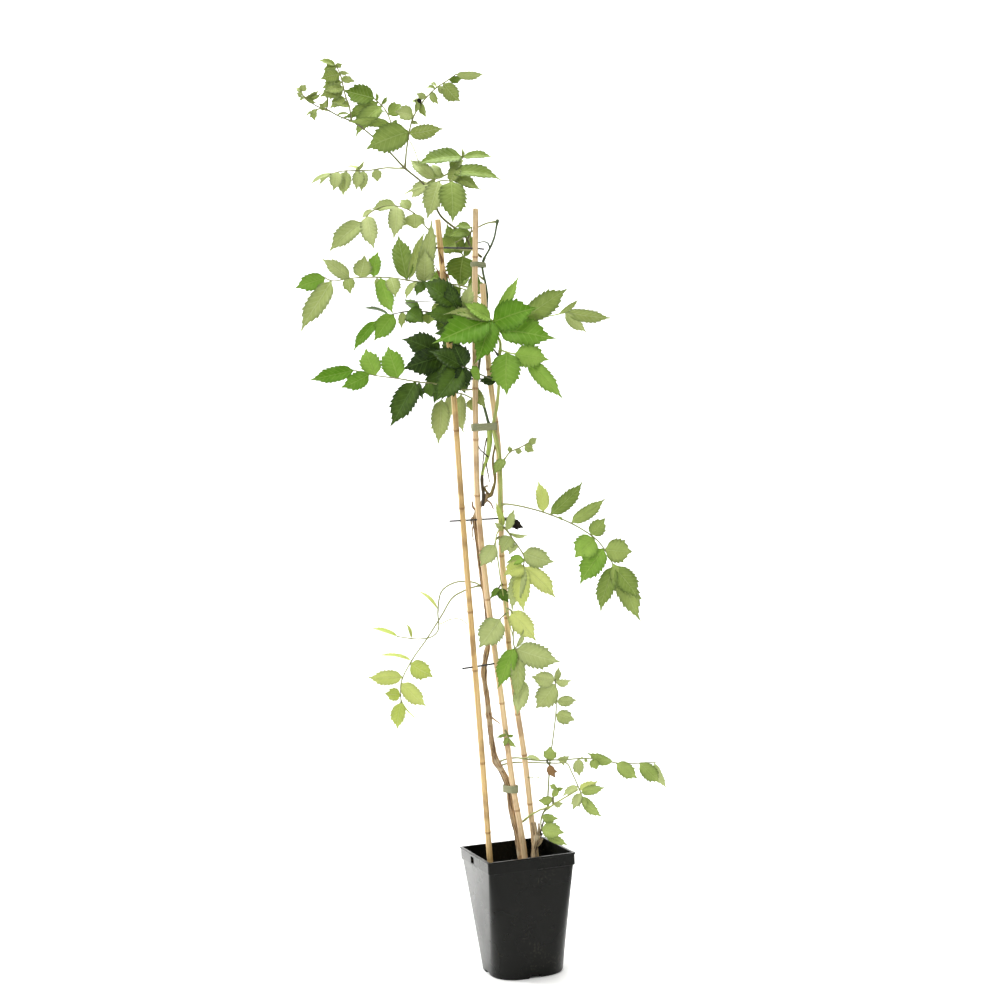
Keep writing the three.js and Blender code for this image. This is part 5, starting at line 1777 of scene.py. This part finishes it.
FRONDS = (
    Frond("frond_crest", Leaf.LIGHT,
          ((-209, -1, 1396), (-212, -2, 1422), (-216, -4, 1434), (-220, -6, 1455), (-223, -6, 1471),
           (-230, -5, 1488)),
          ((1, -258, -12, 1495, 10, 25), (0.75, -198, -14, 1456, 10, 20), (0.96, -253, 2, 1473, 14, 20),
           (0.82, -256, -14, 1463, 18, -10), (0.68, -255, 2, 1452, 18, 15),
           (0.56, -259, -16, 1435, 19, -15), (0.4, -244, 4, 1418, 17, 20), (0.98, -218, -14, 1487, 8, 40),
           (0.1, -234, -16, 1402, 9, 50), (0.86, -206, -16, 1470, 6, 30), (0.98, -251, 0, 1482, 11, 10),
           (0.6, -251, -20, 1441, 16, 10), (0.25, -240, -10, 1425, 15, 30)), shade=0.95),
    Frond("frond_tip", Leaf.LIGHT,
          ((-278, 0, 1434), (-286, -3, 1441), (-289, -4, 1450)),
          ((0.9, -283, -8, 1457, 7, 10), (0.8, -297, -2, 1454, 8, 20), (0.3, -258, -6, 1448, 9, 60),
           (0.3, -293, 4, 1436, 7, 30), (0.6, -296, -8, 1444, 8, -20), (0.1, -254, -6, 1444, 8, 60),
           (0.2, -264, -4, 1427, 6, 30), (0.9, -280, -8, 1458, 10, 10), (0.05, -272, -6, 1426, 8, -30)),
          shade=0.7),
    Frond("frond_hook", Leaf.LIGHT,
          ((-247, 0, 1416), (-255, -6, 1417), (-263, -9, 1416), (-270, -10, 1412)),
          ((0.95, -283, -8, 1404, 8, 50), (0.9, -268, -16, 1395, 9, 10), (0.35, -247, -16, 1430, 6, 30),
           (0.2, -260, -12, 1424, 11, 20), (0.1, -249, -8, 1445, 5, 60), (0.7, -276, -12, 1402, 8, 20)),
          shade=0.75),
    Frond("frond_fan", Leaf.MIDDLE,
          ((-152, 1, 1345), (-147, 10, 1372), (-147, 14, 1398), (-156, 14, 1418), (-171, 12, 1434)),
          ((1, -222, 12, 1450, 28, 10), (0.92, -220, 20, 1405, 19, -10), (0.84, -207, 8, 1370, 26, 15),
           (0.66, -128, 24, 1426, 19, 15), (0.86, -150, 22, 1438, 6, 40), (0.5, -135, 24, 1392, 13, 30),
           (0.72, -236, 26, 1405, 10, 20), (0.5, -220, -2, 1396, 13, -20), (0.36, -174, 0, 1368, 17, 10),
           (0.95, -167, 6, 1443, 5, 30)), shade=0.72),
    Frond("frond_arching", Leaf.LIGHT,
          ((-126, 0, 1315), (-121, -10, 1345), (-115, -16, 1371), (-108, -18, 1392), (-90, -16, 1419),
           (-67, -12, 1441), (-50, -8, 1452), (-34, -6, 1463)),
          ((1, 14, -6, 1461, 12, 30), (0.86, -30, 4, 1418, 22, 5), (0.72, -65, -24, 1409, 11, 25),
           (0.6, -87, -8, 1394, 12, 40), (0.32, -190, -14, 1347, 37, -5, Leaf.MIDDLE),
           (0.3, -56, -30, 1372, 20, 20), (0.46, -137, -26, 1401, 22, 15), (0.5, -102, -32, 1418, 10, 40),
           (0.92, -26, 4, 1457, 10, 20, Leaf.MIDDLE, 1.0), (0.8, -77, -24, 1444, 10, 40),
           (0.8, -53, -4, 1433, 10, 10), (0.66, -101, -22, 1431, 10, -30), (0.6, -110, -10, 1421, 10, 40),
           (0.78, -84, -20, 1439, 8, 30), (0.6, -105, -24, 1419, 8, 0, Leaf.DEAD),
           (0.42, -100, -6, 1385, 8, 60)), shade=0.65,
          twigs=(((-117, -14, 1360), (-108, -2, 1341), (-104, 12, 1325)),)),
    Frond("frond_hanging", Leaf.LIGHT,
          ((-126, 0, 1315), (-141, 12, 1318), (-158, 20, 1321), (-186, 28, 1320), (-207, 32, 1321),
           (-232, 34, 1322), (-252, 34, 1318)),
          ((1, -287, 38, 1303, 9, 40), (0.4, -174, 28, 1300, 15, 15), (0.58, -201, 36, 1286, 17, 10),
           (0.64, -210, 24, 1287, 17, -15), (0.8, -233, 40, 1281, 20, 5), (0.9, -247, 28, 1288, 19, 10),
           (0.97, -273, 44, 1301, 11, 45), (0.7, -194, 42, 1341, 8, 65), (0.62, -229, 40, 1330, 11, 60)),
          shade=0.45),
    Frond("frond_upper_right", Leaf.LIGHT,
          ((-95, 0, 1286), (-85, 14, 1295), (-69, 24, 1302), (-50, 30, 1312), (-36, 34, 1326),
           (-31, 36, 1337)),
          ((1, -110, 16, 1321, 32, 35, Leaf.MIDDLE, 0.9), (0.99, 22, 32, 1331, 15, -30, Leaf.MIDDLE, 0.8),
           (0.62, 36, 26, 1291, 24, -30, Leaf.MIDDLE, 0.7), (0.55, -2, 42, 1277, 19, -20),
           (0.8, -56, 20, 1286, 18, 10), (0.3, -122, 34, 1335, 19, 10), (0.12, -120, 26, 1269, 19, 20),
           (0.95, -32, 40, 1352, 8, 60), (0.3, -99, 36, 1270, 15, -10), (0.51, -92, 30, 1301, 15, 30),
           (0.66, -31, 38, 1338, 18, -20), (0.41, -84, 40, 1328, 13, 20)), shade=0.5),
    Frond("frond_upper_front", Leaf.LIGHT,
          ((-91, 0, 1278), (-83, -12, 1283), (-69, -22, 1287), (-50, -28, 1285)),
          ((1, -53, -32, 1215, 37, -5, Leaf.MIDDLE), (0.6, -93, -30, 1222, 28, 10),
           (0.3, -136, -14, 1266, 5, 40)), shade=0.55),
    Frond("frond_upper_left", Leaf.LIGHT,
          ((-23, 2, 1178), (-36, 12, 1178), (-60, 22, 1188), (-94, 20, 1217), (-114, 14, 1242),
           (-135, 12, 1254), (-162, 8, 1256), (-185, 4, 1247), (-201, 0, 1229)),
          ((1, -258, -6, 1182, 26, 5), (0.94, -183, -10, 1181, 24, 10), (0.7, -186, 14, 1252, 21, 35),
           (0.88, -203, 16, 1238, 11, 40), (0.7, -149, -8, 1197, 24, -15), (0.56, -115, 22, 1218, 29, 5),
           (0.6, -136, 24, 1269, 16, 20)), shade=0.35),
    Frond("leaf_bent", Leaf.MIDDLE,
          ((-30, 1, 1194), (-24, -6, 1203), (-22, -12, 1212)),
          ((0.95, -50, -20, 1212, 15, 40), (0.6, -62, -12, 1196, 16, 20)), shade=0.6),
    Frond("frond_crown", Leaf.MIDDLE,
          ((-6, 12, 1128), (-20, 22, 1142), (-32, 28, 1158), (-42, 30, 1178)),
          ((0.95, -66, 34, 1228, 24, 0), (0.9, -46, 30, 1122, 40, 0), (0.3, -23, 36, 1100, 18, 25),
           (0.85, -24, 34, 1212, 14, 40)), shade=0.85),
    Frond("frond_crown_top", Leaf.MIDDLE,
          ((20, 3, 1221), (2, 12, 1220), (-18, 18, 1212), (-36, 20, 1200), (-50, 18, 1192)),
          ((1, -80, 12, 1178, 26, 5),), shade=0.5),
    Frond("frond_crown_back", Leaf.MIDDLE,
          ((-4, 14, 1092), (-18, 34, 1104), (-34, 52, 1116), (-52, 68, 1126), (-66, 82, 1134)),
          ((1, -104, 102, 1150, 22, 10), (0.75, -40, 92, 1168, 20, 20), (0.7, -92, 66, 1098, 22, -15),
           (0.45, -8, 72, 1132, 18, 30), (0.42, -46, 62, 1074, 20, -20)), shade=0.85),
    Frond("frond_side_left", Leaf.LIGHT,
          ((-3, 13, 1106), (-14, 15, 1110), (-26, 5, 1113), (-45, -2, 1119), (-113, -12, 1127),
           (-165, -18, 1136), (-220, -22, 1137), (-252, -24, 1134), (-267, -26, 1142)),
          ((0.99, -313, -36, 1122, 23, -10, Leaf.VIVID), (0.95, -309, -34, 1050, 28, 5),
           (0.84, -267, -34, 1171, 20, 10), (0.78, -195, -38, 1172, 25, 15),
           (0.7, -175, -28, 1179, 19, -10, Leaf.VIVID), (0.85, -223, -38, 1108, 17, 5),
           (0.41, -82, -58, 1225, 22, 0), (0.4, -98, -52, 1178, 26, 15),
           (0.5, -145, 6, 1209, 27, 5, Leaf.MIDDLE), (0.6, -149, -38, 1098, 20, -10),
           (0.66, -157, -2, 1076, 23, 15, Leaf.VIVID), (0.4, -118, -34, 1100, 16, 10, Leaf.DARK),
           (0.68, -172, 6, 1112, 12, 30), (0.44, -135, -28, 1096, 14, 40), (0.49, -99, 0, 1214, 13, 10),
           (0.27, -78, -42, 1180, 5, 40, Leaf.BROWN), (0.27, -84, -40, 1152, 4, -30, Leaf.BROWN),
           (0.25, -72, -42, 1138, 5, 60, Leaf.BROWN)), shade=0.55),
    Frond("frond_mid_left", Leaf.DARK,
          ((-13, 13, 1036), (-30, 22, 1052), (-60, 26, 1068), (-95, 26, 1080), (-130, 24, 1084),
           (-160, 22, 1080), (-188, 20, 1070)),
          ((1, -229, 14, 1020, 16, 5, Leaf.VIVID), (0.84, -193, 22, 1036, 26, -5, Leaf.VIVID),
           (0.76, -146, 12, 1054, 11, 10, Leaf.LIGHT), (0.72, -108, 6, 1060, 26, 0),
           (0.4, -76, 36, 1044, 24, -10), (0.5, -66, 14, 1098, 22, 30, Leaf.MIDDLE),
           (0.62, -140, 36, 1106, 16, 40), (0.55, -101, 34, 1062, 20, 10, Leaf.MIDDLE),
           (0.88, -212, 34, 1094, 10, 60)), shade=0.6),
    Frond("frond_dark_upper", Leaf.DARK,
          ((11, -8, 1000), (2, -20, 1012), (-14, -28, 1022), (-34, -36, 1040), (-46, -38, 1062),
           (-50, -38, 1088)),
          ((1, -110, -50, 1123, 34, 10), (0.8, -104, -46, 1071, 28, 10),
           (0.8, -27, -34, 1121, 18, 15, Leaf.LIGHT), (0.62, -92, -44, 1040, 30, -20),
           (0.9, -62, -62, 1120, 24, -30), (0.8, -75, -44, 1067, 13, 20, Leaf.LIGHT)), shade=0.6,
          twigs=(((-50, -38, 1088), (-78, -34, 1089), (-111, -34, 1092), (-137, -30, 1091)),)),
    Frond("frond_dark_lower", Leaf.DARK,
          ((-24, 6, 968), (-34, 10, 972), (-52, 8, 985), (-68, 2, 1000), (-82, -8, 1010)),
          ((1, -146, -12, 1038, 33, 5), (0.9, -150, -14, 988, 34, -15), (0.85, -97, 0, 925, 36, 10),
           (0.45, -48, 18, 942, 24, 10), (0.6, -70, 22, 1046, 26, 0), (0.3, -56, 26, 952, 22, 25),
           (0.7, -112, 24, 976, 26, 20)), shade=0.75),
    Frond("frond_dark_front", Leaf.DARK,
          ((10, -7, 958), (0, -21, 962), (-16, -34, 968), (-34, -44, 977), (-50, -50, 984)),
          ((0.98, -96, -54, 928, 34, 5), (0.9, -56, -56, 951, 24, -10),
           (0.55, -41, -50, 970, 20, 10, Leaf.VIVID), (1, -101, -60, 1008, 26, 20),
           (0.92, -61, -54, 1024, 30, -10), (0.1, -23, -14, 961, 13, 10)), shade=0.8),
    Frond("frond_lower_left", Leaf.MIDDLE,
          ((-25, 6, 950), (-45, -4, 948), (-62, -14, 950), (-90, -27, 958), (-121, -33, 963),
           (-154, -36, 970), (-191, -38, 977), (-224, -40, 987)),
          ((1, -297, -48, 973, 21, 5, Leaf.VIVID), (0.88, -246, -44, 958, 23, -10, Leaf.VIVID),
           (0.83, -204, -34, 1022, 27, 5, Leaf.VIVID), (0.66, -167, -32, 1025, 31, -5, Leaf.VIVID),
           (0.52, -167, -42, 888, 32, 5, Leaf.DARK), (0.5, -113, -36, 933, 10, 25, Leaf.DARK),
           (0.42, -101, -34, 936, 18, 10, Leaf.DARK), (0.02, -14, -14, 914, 14, 10, Leaf.LIGHT)),
          shade=0.75),
    Frond("frond_pale_hanging", Leaf.LIGHT,
          ((-17, -2, 922), (-32, 6, 932), (-50, 8, 942), (-72, 12, 946), (-86, 14, 936)),
          ((1, -97, 10, 859, 25, 5), (0.75, -74, 12, 893, 14, 20), (0.55, -53, 14, 876, 18, 10),
           (0.3, -37, 14, 914, 14, 15)), shade=0.15),
    Frond("frond_vivid_left", Leaf.VIVID,
          ((6, -8, 1052), (3, -16, 1058), (-2, -22, 1060)),
          ((0.9, -94, -68, 1018, 44, 5), (0.95, -76, -60, 1069, 15, 15, Leaf.LIGHT),
           (0.6, -27, -42, 984, 34, -10), (0.7, -45, -50, 1085, 21, 25, Leaf.VIVID, 0.15),
           (0.4, 54, -4, 1132, 15, 15, Leaf.VIVID, 0.05), (0.3, 80, -38, 1072, 40, 0),
           (0.95, -60, -52, 1061, 15, 20, Leaf.LIGHT)), shade=0.75),
    Frond("frond_vivid_right", Leaf.VIVID,
          ((10, -8, 1036), (24, -12, 1050), (44, -14, 1056), (69, -14, 1061), (99, -12, 1061),
           (126, -12, 1066)),
          ((1, 201, -18, 1051, 18, 20, Leaf.LIGHT), (0.98, 159, -4, 1032, 15, 20, Leaf.LIGHT),
           (0.42, 131, -8, 1105, 31, 20, Leaf.MIDDLE), (0.9, 148, -22, 1086, 8, 30, Leaf.LIGHT),
           (0.05, 107, -26, 1018, 39, -15), (0.5, 84, -2, 1084, 20, 20)), shade=0.7),
    Frond("frond_vivid_low", Leaf.VIVID,
          ((13, -8, 1012), (18, -13, 1008), (28, -16, 1004), (42, -17, 1000), (58, -16, 990)),
          ((1, 115, -20, 923, 23, 0, Leaf.VIVID, 0.3), (0.55, 94, -22, 987, 32, 0, Leaf.VIVID, 0.15),
           (0.3, 23, -26, 932, 40, 0)), shade=0.75),
    Frond("frond_small_pale", Leaf.LIGHT,
          ((7, -2, 826), (14, -10, 834), (22, -16, 843), (38, -20, 849), (52, -20, 856)),
          ((1, 67, -18, 863, 10, 20), (0.9, 61, -24, 841, 12, 5), (0.6, 42, -14, 842, 8, 10),
           (0.45, 20, -20, 853, 7, 20), (0.18, -6, -20, 807, 15, 20, Leaf.MIDDLE, 0.5))),
    Frond("frond_right", Leaf.MIDDLE,
          ((3, -8, 758), (11, -16, 759), (43, -36, 752), (80, -48, 739), (122, -58, 718), (155, -62, 692),
           (172, -62, 664), (179, -60, 648)),
          ((0.35, 63, -40, 795, 18, 10, Leaf.LIME), (0.4, 139, -48, 790, 21, 10),
           (0.56, 172, -52, 763, 18, 5), (0.72, 168, -70, 730, 22, 10),
           (0.75, 114, -66, 668, 33, 0, Leaf.VIVID), (0.85, 120, -70, 624, 30, 5, Leaf.VIVID),
           (0.86, 210, -58, 673, 32, 0), (0.99, 150, -64, 577, 24, 10), (1, 214, -70, 596, 28, 0),
           (0.97, 213, -54, 556, 30, -10), (0.47, 100, -58, 733, 7, 30)), shade=0.45),
    Frond("frond_thin_upper", Leaf.LIME,
          ((-32, 6, 622), (-45, 16, 632), (-76, 20, 635), (-101, 14, 622), (-109, 6, 590), (-110, 4, 559),
           (-120, 2, 549), (-140, 0, 546), (-178, 0, 552)),
          ((1, -225, -4, 567, 12, 65), (0.9, -163, 4, 574, 8, 60), (0.52, -144, 14, 626, 9, 65)),
          twigs=(((-110, 5, 568), (-101, -8, 571), (-90, -10, 576), (-73, -12, 576), (-62, -20, 568)),)),
    Frond("frond_thin_lower", Leaf.LIME,
          ((-34, 5, 628), (-44, 6, 627), (-66, -14, 621), (-83, -18, 612), (-103, -24, 583),
           (-130, -30, 545), (-152, -34, 517), (-172, -38, 481), (-174, -38, 447)),
          ((0.74, -118, -40, 487, 25, 5), (0.72, -213, -34, 524, 9, 60), (0.84, -228, -42, 491, 20, 5),
           (0.88, -132, -36, 439, 22, -5), (0.96, -200, -44, 464, 18, 20), (1, -181, -36, 404, 20, 10),
           (0.98, -148, -32, 418, 4, 60))),
    Frond("frond_mid_upper", Leaf.LIGHT,
          ((4, -1, 722), (11, -10, 715), (20, -14, 700), (28, -15, 688), (36, -16, 672), (34, -17, 655)),
          ((0.15, 24, -18, 752, 12, 15), (0.3, -2, -22, 680, 22, 0), (0.72, 86, -20, 660, 27, 0),
           (0.98, 0, -34, 645, 24, 10, Leaf.LIME), (0.97, 9, -24, 583, 22, 5),
           (1, 29, -30, 580, 24, 5, Leaf.LIME), (0.99, 84, -14, 598, 24, -10, Leaf.LIME),
           (0.5, 12, -28, 676, 12, 30), (0.85, 6, -26, 664, 14, 20, Leaf.VIVID),
           (0.2, 46, -24, 706, 10, 60), (0.02, -7, -16, 766, 9, 20, Leaf.LIME),
           (0.04, -10, -18, 731, 8, -20, Leaf.LIGHT)), shade=0.25),
    Frond("leaf_pale_left", Leaf.LIGHT,
          ((-3, 0, 706), (-8, -8, 702), (-11, -14, 694)),
          ((1, -36, -22, 658, 22, 0),), shade=0.3),
    Frond("leaf_dark_left", Leaf.DARK,
          ((-2, 0, 628), (-6, -9, 626), (-8, -12, 622)),
          ((1, 7, -18, 598, 15, -10), (0.8, -22, -18, 606, 9, 20)), shade=0.4),
    Frond("frond_mid_lower", Leaf.LIGHT,
          ((4, -1, 588), (10, -12, 586), (14, -16, 572), (12, -18, 548), (12, -18, 530), (16, -18, 520),
           (22, -18, 494), (24, -18, 473)),
          ((0.11, 50, -24, 533, 27, 0, Leaf.LIME), (0.61, 89, -22, 499, 33, 0),
           (0.59, -16, -26, 459, 24, 10, Leaf.VIVID), (0.64, 9, -32, 438, 20, -5),
           (1, 11, -22, 415, 21, -10), (0.6, 30, -28, 556, 10, 50)), shade=0.3),
    Frond("leaf_pale_low", Leaf.LIGHT,
          ((5, 0, 581), (-1, -10, 579), (-8, -15, 573)),
          ((1, -46, -24, 527, 34, 0),), shade=0.35),
    Frond("frond_mid_right", Leaf.LIGHT,
          ((54, -20, 265), (55, -12, 280), (57, -2, 298), (60, 8, 320), (63, 14, 341), (69, 18, 372),
           (76, 18, 415), (78, 18, 445), (77, 18, 468)),
          ((1, 36, 12, 474, 22, -5), (0.97, 42, 22, 419, 30, 5), (0.98, 104, 14, 466, 14, 30),
           (0.83, 112, 22, 431, 15, 5), (0.73, 107, 14, 399, 20, 5), (0.99, 84, 26, 487, 10, 20)),
          shade=0.2),
    Frond("frond_low_back", Leaf.MIDDLE,
          ((-25, -2, 338), (-14, 6, 341), (-4, 7, 343), (8, 2, 344), (16, -6, 344), (27, -8, 342),
           (39, -8, 340), (55, 0, 338), (91, 10, 336), (120, 18, 335), (145, 26, 331), (164, 30, 325),
           (174, 32, 322), (201, 34, 320), (219, 36, 320), (237, 36, 319)),
          ((0.35, 64, -2, 361, 18, 0), (0.4, 94, 6, 342, 13, 30, Leaf.LIGHT),
           (0.53, 109, 16, 306, 15, 5, Leaf.LIGHT), (0.75, 122, 22, 345, 16, -25),
           (0.62, 138, 26, 314, 14, 10), (0.77, 206, 34, 294, 20, -10), (0.91, 244, 38, 285, 21, -10),
           (1, 254, 38, 274, 13, 30, Leaf.LIGHT), (0.29, 19, -10, 345, 10, 60, Leaf.LIGHT),
           (0.55, 113, 14, 338, 6, 30), (0.57, 124, 18, 328, 6, 40), (0.44, 84, 2, 326, 5, 50)),
          shade=0.1,
          twigs=(((24, -2, 312), (29, -4, 311), (37, -6, 313), (45, -5, 309)),)),
    Frond("frond_low_front", Leaf.MIDDLE,
          ((-26, -3, 333), (-18, 3, 333), (-8, 12, 334), (6, 13, 335), (18, 15, 334), (34, 16, 333),
           (45, 14, 332), (71, -4, 333), (89, -14, 333), (94, -20, 323), (101, -25, 306), (104, -27, 298),
           (107, -28, 290), (110, -29, 280)),
          ((0.94, 137, -34, 306, 16, 10, Leaf.LIME), (0.97, 149, -38, 296, 13, -15),
           (1, 141, -30, 245, 15, 15), (0.97, 94, -34, 260, 13, 20, Leaf.LIGHT),
           (0.91, 77, -36, 284, 11, 30, Leaf.LIGHT), (1, 104, -38, 265, 8, 40, Leaf.LIGHT),
           (1, 115, -40, 263, 9, -30)), shade=0.02),
    Frond("frond_rim", Leaf.MIDDLE,
          ((52, -22, 263), (47, -27, 259), (43, -31, 252), (41, -34, 243), (42, -35, 233),
           (48, -34, 220)),
          ((0.36, 70, -40, 251, 14, 10), (0.7, 79, -42, 227, 22, -10), (1, 84, -36, 205, 11, -20)),
          shade=0.05),
    Frond("frond_low_small", Leaf.MIDDLE,
          ((63, -23, 269), (63, -22, 280), (66, -20, 289), (69, -20, 295)),
          ((0.38, 38, -22, 277, 15, -25), (0.44, 69, -24, 299, 10, 20), (1, 58, -18, 300, 8, 30),
           (0.04, 79, -26, 271, 9, 10, Leaf.LIGHT), (1, 81, -18, 294, 7, 30)), shade=0.1),
    Frond("leaves_young", Leaf.MIDDLE,
          ((-9, -13, 392), (-7, -17, 388), (-4, -18, 380)),
          ((0.6, -24, -20, 381, 5, 30), (1, 8, -20, 364, 8, 40), (0.8, 5, -24, 386, 6, 30),
           (0.9, -12, -22, 366, 7, 20)), shade=0.5),
    Frond("leaf_withered_dark", Leaf.DEAD,
          ((6, 2, 733), (14, 0, 734), (21, -3, 731)),
          ((1, 38, -10, 719, 13, 25), (0.9, 27, -2, 716, 8, 20))),
    Frond("leaf_withered_brown", Leaf.BROWN,
          ((57, 0, 339), (57, -2, 335), (60, -3, 331)),
          ((1, 68, -6, 309, 12, 20), (0.8, 76, 0, 316, 7, 60))),
)


def main() -> None:
    """Builds the pot, its supports and the plant, then the studio round them."""
    logging.basicConfig(level=logging.INFO, format="%(name)s %(message)s")
    for make_effect in (make_mottle, make_veins, make_grain, make_speckle):
        make_effect()
    pot = NurseryPot()
    for part in (pot, Compost(pot), *CANES, *WIRES, *TIES, *STEMS, *FRONDS, Studio()):
        part.build()
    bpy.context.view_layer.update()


if __name__ == "__main__":
    main()
